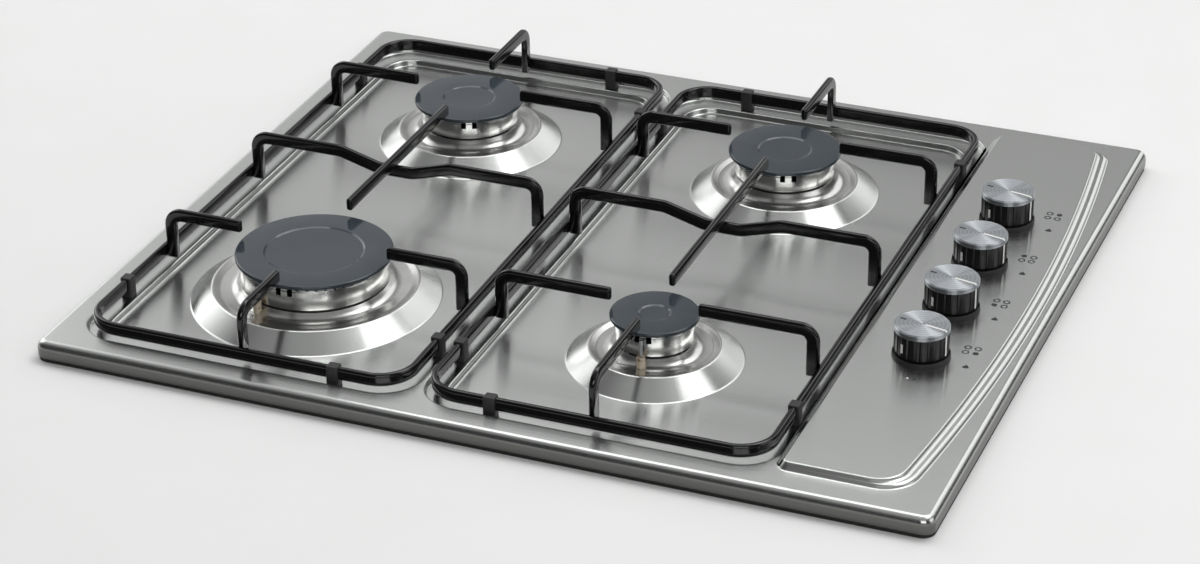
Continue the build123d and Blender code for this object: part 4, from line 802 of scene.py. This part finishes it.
def swept(path, across, insets=None, closed=False):
    """A bar's rounded section carried along a path that is bent in one plane; across is that plane's normal.
    Each section stands square to the path and is moved in by its inset, which rounds off the bar's ends."""
    insets = np.zeros(len(path)) if insets is None else insets
    ahead = np.roll(path, -1, axis=0) - path
    behind = path - np.roll(path, 1, axis=0)
    if not closed:
        ahead[-1], behind[0] = behind[-1], ahead[0]
    ahead /= np.linalg.norm(ahead, axis=1)[:, None]
    behind /= np.linalg.norm(behind, axis=1)[:, None]
    run = ahead + behind
    run /= np.linalg.norm(run, axis=1)[:, None]
    side = np.cross(across, run)
    depth, thick = (BAR_THICK, BAR_DEPTH) if closed else (BAR_DEPTH, BAR_THICK)
    loops = np.stack([rounded_loop(depth / 2 - i, thick / 2 - i, BAR_ROUND - i, steps=5) for i in insets])
    rows = path[:, None] + loops[..., :1] * side[:, None] + loops[..., 1:] * np.asarray(across, float)
    return np.concatenate([rows, rows[:1]]) if closed else capped(rows)


def round_ended(path, start, end):
    """A path with its rounded ends' extra stations, and the inset of the section at each station."""
    turn = np.linspace(0, math.pi / 2, 6)
    reach, inset = TIP_ROUND * np.sin(turn), TIP_ROUND * (1 - np.cos(turn))
    ends = []
    for tip, neighbour, rounded in ((path[0], path[1], start), (path[-1], path[-2], end)):
        run = (tip - neighbour) / np.linalg.norm(tip - neighbour)
        stations = (tip - run * TIP_ROUND + reach[:, None] * run, inset) if rounded else (tip[None], [0.0])
        ends.append(stations)
    (first, first_inset), (last, last_inset) = ends
    points = np.concatenate([first[::-1], path[1:-1], last])
    return points, np.concatenate([first_inset[::-1], np.zeros(len(path) - 2), last_inset])


def upright_bar(centre, heading, corners, radii, end=False):
    """A bar bent in the upright plane through centre along heading; corners are (along, height)."""
    line = softened(corners, radii, 9)
    heading = np.array(heading, float)
    path = np.array([*centre, 0.0]) + line[:, :1] * heading + line[:, 1:] * np.array([0, 0, 1.0])
    points, insets = round_ended(path, False, end)
    return swept(points, np.cross(heading, [0, 0, 1.0]), insets)


def support_parts(column):
    """The rail, three bent fingers at each burner, the cross bar with its dip, and the long bar in the dip."""
    x = WELL_X[column]
    middle = RAIL_LOW + BAR_DEPTH / 2
    rail = at_height(rounded_loop(*RAIL_HALF, RAIL_CORNER, (x, WELL_Y), 14), middle)
    rows = [swept(rail, (0, 0, 1), closed=True)]
    level = FINGER_TOP - BAR_DEPTH / 2
    foot = RAIL_LOW + UPRIGHT_LOW
    reach_x, reach_y = (half - BAR_THICK / 2 - BAR_DEPTH / 2 + WELD_SINK for half in RAIL_HALF)
    for row, side in (("front", -1), ("rear", 1)):
        tip = CAP[row + "_" + column] + TIP_GAP
        y = BURNER_Y[row]
        corners = [(-reach_x, foot), (-reach_x, level), (-tip, level)]
        rows += [upright_bar((x, y), (turn, 0, 0), corners, [FINGER_BEND], end=True) for turn in (1, -1)]
        far = reach_y - side * (y - WELL_Y)
        corners = [(-far, foot), (-far, level), (-tip, level)]
        rows.append(upright_bar((x, y), (0, -side, 0), corners, [FINGER_BEND], end=True))
    half = [(-reach_x, foot), (-reach_x, level), (-DIP_KINK, level), (-DIP_FLAT, level - DIP)]
    corners = half + [(-along, z) for along, z in reversed(half)]
    bends = (FINGER_BEND, KINK_BEND, KINK_BEND, KINK_BEND, KINK_BEND, FINGER_BEND)
    rows.append(upright_bar((x, WELL_Y), (1, 0, 0), corners, bends))
    front = BURNER_Y["front"] + CAP["front_" + column] + TIP_GAP
    rear = BURNER_Y["rear"] - CAP["rear_" + column] - TIP_GAP
    ends = [(front, level), ((front + rear) / 2, level), (rear, level)]
    line = np.array([[x, y, z] for y, z in ends])
    points, insets = round_ended(line, True, True)
    rows.append(swept(points, np.array([1.0, 0, 0]), insets))
    return [(*grid(part), 0) for part in rows]


# Black vitreous enamel: a wet, glassy coat over a slightly uneven ground.
glassy = {"Roughness": 0.12, "IOR": 1.52}
black_glass = clouded("black_enamel", 15, "#090909", "#121212", glassy, detail=3.0, relief=(0.1, 0.4))
for column in COLUMNS:
    support = mesh_object("support_bars_" + column, support_parts(column), [black_glass])
    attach(support, "support_" + column)
    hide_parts("pan_support_" + column)


# The support feet: black rubber bands clipped round the rails. They stand on the wells' ledges and keep the
# steel from ringing and scratching.
FOOT_HALF = 4.0
FOOT_WALL = 1.5
FOOT_TOP = 66.05
FOOT_ALONG_X = 64.0
FOOT_ALONG_Y = 172.0
FOOT_CORNER = 1.2
FOOT_EDGE = 0.8
FOOT_DRAFT = 0.15


def moulded_foot(half_x, half_y, centre):
    """An upright block with rounded corners and edges that narrows a little towards its top."""
    edge, draft = FOOT_EDGE, FOOT_DRAFT
    corners = [(edge, LEDGE_Z), (0, LEDGE_Z), (draft, FOOT_TOP), (edge + draft, FOOT_TOP)]
    rows = []
    for inset, height in softened(corners, (edge * 0.9, edge * 0.9), 4):
        corner = max(FOOT_CORNER - inset, 0.05)
        rows.append(at_height(rounded_loop(half_x - inset, half_y - inset, corner, centre, 4), height))
    return capped(np.stack(rows))


def feet_parts(column):
    """Six feet: one on each end of the rail and two on each of its long sides."""
    x, toward_middle = WELL_X[column], 1 if column == "left" else -1
    thick = BAR_THICK / 2 + FOOT_WALL
    blocks = []
    for side in (-1, 1):
        place = (x + toward_middle * FOOT_ALONG_X, WELL_Y + side * RAIL_HALF[1])
        blocks.append(moulded_foot(FOOT_HALF, thick, place))
        for end in (-1, 1):
            place = (x + side * RAIL_HALF[0], WELL_Y + end * FOOT_ALONG_Y)
            blocks.append(moulded_foot(thick, FOOT_HALF, place))
    return [(*grid(block), 0) for block in blocks]


# Moulded silicone rubber: dark, matt, with a dusty bloom and a fine mould grain.
dull = {"Roughness": 0.55}
rubber = clouded("black_rubber", 4, "#222222", "#343434", dull, detail=4.0, relief=(0.15, 0.1))
for column in COLUMNS:
    feet = mesh_object("rubber_feet_" + column, feet_parts(column), [rubber])
    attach(feet, "support_" + column)
    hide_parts("support_feet_" + column)


# The knobs: black moulded skirts with grip ribs, each with a spun aluminium cup pressed over its top. A white
# line is filled into the cup and runs on down the skirt's side, and a short white band on the skirt's
# front-left is a painted highlight.
KNOB_LOW = 63.6
KNOB_SKIRT = 16.6
KNOB_WALL = 2.2
FACE_RADIUS = 17.3
FACE_LOW = 78.3
FACE_TOP = 82.0
FACE_BEVEL = 0.8
FACE_FALL = 0.3  # the turned top is a shade lower in the middle
FACE_BOSS = 16.0
RIBS = 24
RIB_HEIGHT = 0.45
RIB_SHARE = 0.34
LINE_WIDTH = 1.6
POINTER_TURN = -14.0
LINE_START = 2.0
INK = 0.05
WAVE_SHARE = 20  # of a wave texture's unit in one wave
SKIRT_LINE = (KNOB_LOW + 1.2, FACE_LOW)
# A painted highlight: a short white band on the skirt's front-left side.
PAINTED_HIGHLIGHT = (-118.0, 1.8, 67.5, 73.5)  # degrees, width, lowest and highest point
DASH = (172.0, 10.6, 14.8, 1.5)  # degrees, nearer and farther end, width


def spun_aluminium():
    """Aluminium faced on a lathe: tool rings 0.4 mm apart throw bright and dark fans from the middle."""
    material, tree = empty_material("spun_aluminium")
    rings = add_node(tree, "ShaderNodeUVMap", {"uv_map": "grain"})
    waves = add_node(tree, "ShaderNodeTexWave", {"bands_direction": "X", "wave_profile": "SIN"}, {
        "Vector": rings.outputs[0], "Scale": GRAIN_UNIT / TOOL_RING / WAVE_SHARE, "Distortion": 0.4,
        "Detail": 2.0,
    })
    along = add_node(tree, "ShaderNodeTangent", {"direction_type": "UV_MAP", "uv_map": "grain"})
    two_toned(tree, waves.outputs["Fac"], "#adb1b5", "#bcc0c4", {
        "Metallic": 1.0, "Roughness": 0.42, "Anisotropic": 1.0, "Tangent": along.outputs[0],
    })
    return material


def ribbed_rows(profile, ribbed, centre):
    """A turned skirt whose wall swells into ribs: the radius grows by a raised cosine over a rib's share."""
    angles = np.linspace(0, 2 * math.pi, RIBS * 12, endpoint=False)
    phase = np.abs(np.mod(angles * RIBS / (2 * math.pi) + 0.5, 1) - 0.5) / (RIB_SHARE / 2)
    rib = RIB_HEIGHT * np.where(phase < 1, (1 + np.cos(np.pi * np.minimum(phase, 1))) / 2, 0)
    radius = profile[:, :1] + ribbed[:, None] * rib
    x, y = centre[0] + radius * np.cos(angles), centre[1] + radius * np.sin(angles)
    return np.stack([x, y, np.broadcast_to(profile[:, 1:], x.shape)], -1)


def surface_band(profile, width, turn, centre):
    """A band over a turned surface, for ink and for the painted highlight: the section's line, a hair proud,
    between two upright planes.
    """
    run = np.gradient(profile, axis=0)
    out = np.stack([run[:, 1], -run[:, 0]], -1) / np.linalg.norm(run, axis=1)[:, None]
    loops = [profile + out * INK, profile - out * INK]
    corners = [(loops[0], -1), (loops[0], 1), (loops[1], 1), (loops[1], -1)]
    half = np.full(len(profile), width / 2)
    rows = np.stack([np.column_stack([loop[:, 0], side * half, loop[:, 1]]) for loop, side in corners], 1)
    return grid(capped(swung(rows, turn, centre)))


def face_profile():
    """The cup's section from its folded lower edge, up its side and over the bevel to the middle."""
    corners = [
        (FACE_BOSS, FACE_LOW), (FACE_RADIUS, FACE_LOW), (FACE_RADIUS, FACE_TOP - FACE_BEVEL),
        (FACE_RADIUS - FACE_BEVEL, FACE_TOP), (1.0, FACE_TOP - FACE_FALL), (0, FACE_TOP - FACE_FALL),
    ]
    return softened(corners, (0.3, 0.3, 0.25, 0.5), 5)


def skirt_parts(centre):
    """The ribbed skirt, with the pointer line as a band of ink on its side and a painted highlight as a short
    white band.
    """
    inner = KNOB_SKIRT - KNOB_WALL
    corners = [
        (0, FACE_LOW - KNOB_WALL), (inner, FACE_LOW - KNOB_WALL), (inner, KNOB_LOW), (KNOB_SKIRT, KNOB_LOW),
        (KNOB_SKIRT, FACE_LOW), (FACE_BOSS, FACE_LOW), (FACE_BOSS, FACE_TOP - 1), (0, FACE_TOP - 1),
    ]
    profile = softened(corners, (0.5, 0.6, 0.6, 0.3, 0.1, 0.3), 3)
    wall = (profile[:, 0] > KNOB_SKIRT - 0.2) & (profile[:, 1] > KNOB_LOW + 0.5)
    parts = [(*grid(ribbed_rows(profile, wall.astype(float), centre)), 0)]
    proud = KNOB_SKIRT + RIB_HEIGHT + INK
    # The second band is the painted highlight, in the same white as the ink.
    for turn, width, low, high in ((POINTER_TURN, LINE_WIDTH, *SKIRT_LINE), PAINTED_HIGHLIGHT):
        upright = np.column_stack([np.full(8, proud), np.linspace(low, high, 8)])
        parts.append((*surface_band(upright, width, turn, centre), 1))
    return parts


def cup_parts(centre):
    """The cup's skin, folded over its own edge, the white line along its section and a dark dash opposite."""
    profile = face_profile()
    line = profile[(profile[:, 1] > FACE_LOW + 0.3) & (profile[:, 0] > LINE_START)]
    line = np.concatenate([line, [(LINE_START, FACE_TOP - FACE_FALL)]])
    turn, near, far, width = DASH
    fall = FACE_FALL / (FACE_RADIUS - FACE_BEVEL - 1)
    dash = np.array([(r, FACE_TOP - (FACE_RADIUS - FACE_BEVEL - r) * fall) for r in (far, near)])
    return [
        (*grid(turned(profile, centre, 192)), 0), (*surface_band(line, LINE_WIDTH, POINTER_TURN, centre), 1),
        (*surface_band(dash, width, turn, centre), 2),
    ]


# Moulded phenolic, deep black and half gloss with a fine spark-eroded grain, and baked inks, matt and uneven;
# the white ink also paints the skirts' highlight.
half_gloss, ink = {"Roughness": 0.3}, {"Roughness": 0.6}
plastic = clouded("black_plastic", 0.8, "#0c0c0c", "#171717", half_gloss, relief=(0.12, 0.08))
white_ink_and_painted_highlight = clouded("white_ink_and_painted_highlight", 1.5, "#f0f0ec", "#fafaf6", ink)
dark_ink = clouded("dark_ink", 1.5, "#202226", "#2c2e32", ink)
spun = spun_aluminium()
for burner in BURNERS:
    centre = knob_centre(burner)
    skirt = mesh_object("knob_skirt_" + burner, skirt_parts(centre), [plastic, white_ink_and_painted_highlight])
    cup_skins = [spun, white_ink_and_painted_highlight, dark_ink]
    cup = mesh_object("knob_cup_" + burner, cup_parts(centre), cup_skins, ring_grain(centre))
    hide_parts("knob_" + burner)
    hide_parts("knob_face_" + burner)
    for made in (skirt, cup):
        with_sharp_edges(made)
        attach(made, "knob_" + burner)


# The knob seals: moulded rubber rings that close the holes round the stems. Each lies on the control field,
# with a collar through the hole and a thin lip that stands round its knob.
SEAL_RADIUS = 18.2
SEAL_WALL = 1.0
SEAL_LIP = 3.0
SEAL_FLOOR = 0.6
SEAL_DRAFT = 0.2
STEM_GAP = 5.0


def seal_profile():
    """The ring's closed section: the collar, the floor on the field, and the lip."""
    inner, below = SEAL_RADIUS - SEAL_WALL, PLATEAU_Z - SHEET
    lip, floor = PLATEAU_Z + SEAL_LIP, PLATEAU_Z + SEAL_FLOOR
    corners = [
        (STEM_HOLE, below), (STEM_HOLE, PLATEAU_Z), (SEAL_RADIUS, PLATEAU_Z), (SEAL_RADIUS - SEAL_DRAFT, lip),
        (inner, lip), (inner, floor), (STEM_GAP, floor), (STEM_GAP, below), (STEM_HOLE, below),
    ]
    return softened(corners, (0.05, 0.1, 0.4, 0.4, 0.4, 0.2, 0.1), 4)


rings = [(*grid(turned(seal_profile(), knob_centre(burner))), 0) for burner in BURNERS]
seals = with_sharp_edges(mesh_object("stem_seals", rings, [rubber]))
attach(seals, "root")
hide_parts("knob_seals")


# The printed marks: at the right of each knob a plan of the four burners with its own one filled and a flame
# for the spark, and two dots in front of the row, one of them white. They are ink, baked on the steel.
PLAN_PITCH = (6.4, 6.0)
PLAN_RING = 1.9
PLAN_STROKE = 0.9
PLAN_OFFSET = (27.4, 16.0)  # knob's axis to the plan's middle
FLAME_OFFSET = (29.5, -4.2)
FLAME_SIZE = (4.2, 4.4)
FLAME_PEAK = 1.3  # twice the largest value of its curve
DOTS = ((0.6, -30.2), (4.8, -30.4))  # front knob's axis to the dots
DOT_RADIUS = 0.8
PLAN_PLACES = {"front_left": (-1, -1), "rear_left": (-1, 1), "rear_right": (1, 1), "front_right": (1, -1)}


def printed_ring(place, radius, stroke=None):
    """A flat printed disc, or a ring where a stroke is given: its section turned round its middle."""
    low, high = PLATEAU_Z - INK, PLATEAU_Z + INK
    if stroke is None:
        return grid(turned(np.array([(0, low), (radius, low), (radius, high), (0, high)]), place, 24))
    outer, inner = radius + stroke / 2, radius - stroke / 2
    section = [(outer, low), (outer, high), (inner, high), (inner, low), (outer, low)]
    return grid(turned(np.array(section), place, 24))


def printed_flame(place):
    """A drop with its point to the back: its half width is the sine of t times the square of sin t/2."""
    t = np.linspace(0, 2 * math.pi, 33)[:-1]
    width, height = FLAME_SIZE
    x = place[0] - width / FLAME_PEAK * np.sin(t) * np.sin(t / 2) ** 2
    y = place[1] + height / 2 * np.cos(t)
    rows = [at_height(np.stack([x, y], -1), z) for z in (PLATEAU_Z - INK, PLATEAU_Z + INK)]
    return grid(capped(np.stack(rows)))


def marks_parts():
    """Each knob's plan and flame, placed from its axis, and the two dots, the first of them white."""
    parts = []
    for burner in BURNERS:
        x, y = knob_centre(burner)
        for other, (side, end) in PLAN_PLACES.items():
            place = (
                x + PLAN_OFFSET[0] + side * PLAN_PITCH[0] / 2,
                y + PLAN_OFFSET[1] + end * PLAN_PITCH[1] / 2,
            )
            stroke = None if other == burner else PLAN_STROKE
            parts.append((*printed_ring(place, PLAN_RING, stroke), 0))
        parts.append((*printed_flame((x + FLAME_OFFSET[0], y + FLAME_OFFSET[1])), 0))
    x, y = knob_centre("front_right")
    for number, (across, along) in enumerate(DOTS):
        parts.append((*printed_ring((x + across, y + along), DOT_RADIUS), 1 - number))
    return parts


marks = with_sharp_edges(mesh_object("printed_marks", marks_parts(), [dark_ink, white_ink_and_painted_highlight]))
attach(marks, "root")


# The electrodes: glazed alumina rods clipped into the cups' ears, each with a steel wire up its middle that
# stands beside the crown. Heat and boiled-over food have browned the glaze.
def fired_alumina():
    """Glazed alumina: cream, smooth and glassy, with brown flecks."""
    material, tree = empty_material("fired_alumina")
    place = add_node(tree, "ShaderNodeTexCoord").outputs["Object"]
    flecks = add_node(tree, "ShaderNodeTexNoise", inputs={
        "Vector": place, "Scale": 1 / (2.2 * MM), "Detail": 3.0,
    })
    stain = add_node(tree, "ShaderNodeMapRange", SMOOTH, {
        "Value": flecks.outputs[0], "From Min": 0.52, "From Max": 0.66,
    })
    two_toned(tree, stain.outputs[0], "#d8cbb4", "#7d5a3c", {"Roughness": 0.25, "IOR": 1.6})
    return material


def finish_nodes(material, *names):
    """Gives CAD nodes whose shape is right a finished material."""
    for name in names:
        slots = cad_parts[name].data.materials
        for i in range(len(slots)):
            slots[i] = material


# Zinc-plated steel: a cool, slightly mottled half gloss.
zinc = clouded("zinc_plated_steel", 3, "#9a9c9e", "#c2c4c6", metal, detail=3.0, gloss=(0.25, 0.42))
finish_nodes(fired_alumina(), "electrode_ceramics")
finish_nodes(zinc, "electrode_pins")


# The gas train under the top: a steel manifold that the brass taps bite on, and aluminium pipes with brass
# nuts to die-cast burner cups, each with a brass jet under its throat. The brass is bright where it was
# turned, with a brown tarnish in between, and the castings are blasted, pale and without a clear reflection.
brass = clouded("turned_brass", 6, "#a8874a", "#d0b070", metal, detail=4.0, gloss=(0.4, 0.22))
blasted = {"Metallic": 1.0, "Roughness": 0.5}
casting = clouded("cast_aluminium", 0.5, "#8e9092", "#b4b6b8", blasted, relief=(0.3, 0.1))
finish_nodes(brass, "injectors", "pipe_nuts", "inlet_elbow")
finish_nodes(casting, "gas_pipes")
finish_nodes(zinc, "gas_manifold", "tap_covers")
for burner in BURNERS:
    finish_nodes(casting, "burner_cup_" + burner, "tap_body_" + burner)
    finish_nodes(brass, "tap_plug_" + burner)
    finish_nodes(zinc, "tap_stem_" + burner)


# The return springs: three turns of square steel wire between each tap's cover and its stem's collar. They
# shorten as the knob is pushed in to spark.
SPRING_RADIUS = 5.4
SPRING_WIRE = 0.8
SPRING_TURNS = 3.0
SPRING_LOW = 43.5
SPRING_LENGTH = 9.5
SPRING_STATIONS = 97


def spring_rows(centre):
    """The wire's square section carried up a helix: its height grows in step with its angle."""
    angles = np.linspace(0, 2 * math.pi * SPRING_TURNS, SPRING_STATIONS)
    heights = SPRING_LOW + SPRING_WIRE / 2 + (SPRING_LENGTH - SPRING_WIRE) * angles / angles[-1]
    half = SPRING_WIRE / 2
    section = np.array([(half, -half), (half, half), (-half, half), (-half, -half)])
    radius = SPRING_RADIUS + section[:, 0]
    x, y = radius * np.cos(angles)[:, None], radius * np.sin(angles)[:, None]
    rows = np.stack([centre[0] + x, centre[1] + y, heights[:, None] + section[:, 1]], -1)
    return capped(rows[:, ::-1])


for burner in BURNERS:
    coil = grid(spring_rows(knob_centre(burner)))
    spring = with_sharp_edges(mesh_object("coil_" + burner, [(*coil, 0)], [zinc]))
    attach(spring, "plug_" + burner)
    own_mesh(spring)
    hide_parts("return_spring_" + burner)


# The case: a galvanised sheet pan hung under the top by nuts on its studs, clamped to the worktop from below,
# with a foam strip between the top's hem and the worktop.
def galvanised_sheet():
    """Hot-dip galvanised sheet: blue-grey zinc crystals up to 12 mm across, each with its own sheen."""
    material, tree = empty_material("galvanised_sheet")
    place = add_node(tree, "ShaderNodeTexCoord").outputs["Object"]
    spangle = add_node(tree, "ShaderNodeTexVoronoi", inputs={"Vector": place, "Scale": 1 / (12 * MM)})
    crystal = add_node(tree, "ShaderNodeSeparateColor", inputs={"Color": spangle.outputs["Color"]})
    gloss = add_node(tree, "ShaderNodeMapRange", inputs={
        "Value": crystal.outputs[1], "To Min": 0.32, "To Max": 0.5,
    })
    two_toned(tree, crystal.outputs[0], "#8f9497", "#b0b4b6", {
        "Metallic": 1.0, "Roughness": gloss.outputs[0],
    })
    return material


def closed_cell_foam():
    """Closed-cell foam: dull black with pores half a millimetre across."""
    material, tree = empty_material("closed_cell_foam")
    place = add_node(tree, "ShaderNodeTexCoord").outputs["Object"]
    pores = add_node(tree, "ShaderNodeTexVoronoi", inputs={"Vector": place, "Scale": 1 / (0.5 * MM)})
    depth = pores.outputs["Distance"]
    two_toned(tree, depth, "#1b1b1b", "#303030", {"Roughness": 0.9}, relief=(0.5, 0.2))
    return material


finish_nodes(galvanised_sheet(), "bottom_case", "worktop_clamps")
finish_nodes(zinc, "machine_screws", "case_nuts")
finish_nodes(closed_cell_foam(), "edge_seal")


# The ignition: a moulded spark generator on the case floor, silicone leads to the electrodes, a switch beside
# each tap's stem, and warm white polyamide terminals and a rubber grommet where the mains cord comes in.
satin = {"Roughness": 0.45}
polyamide = clouded("white_polyamide", 1, "#dcdad2", "#e9e7e0", satin, relief=(0.1, 0.1))
finish_nodes(plastic, "ignition_module", "ignition_switches")
finish_nodes(rubber, "ignition_leads", "cable_gland")
finish_nodes(polyamide, "terminal_block")
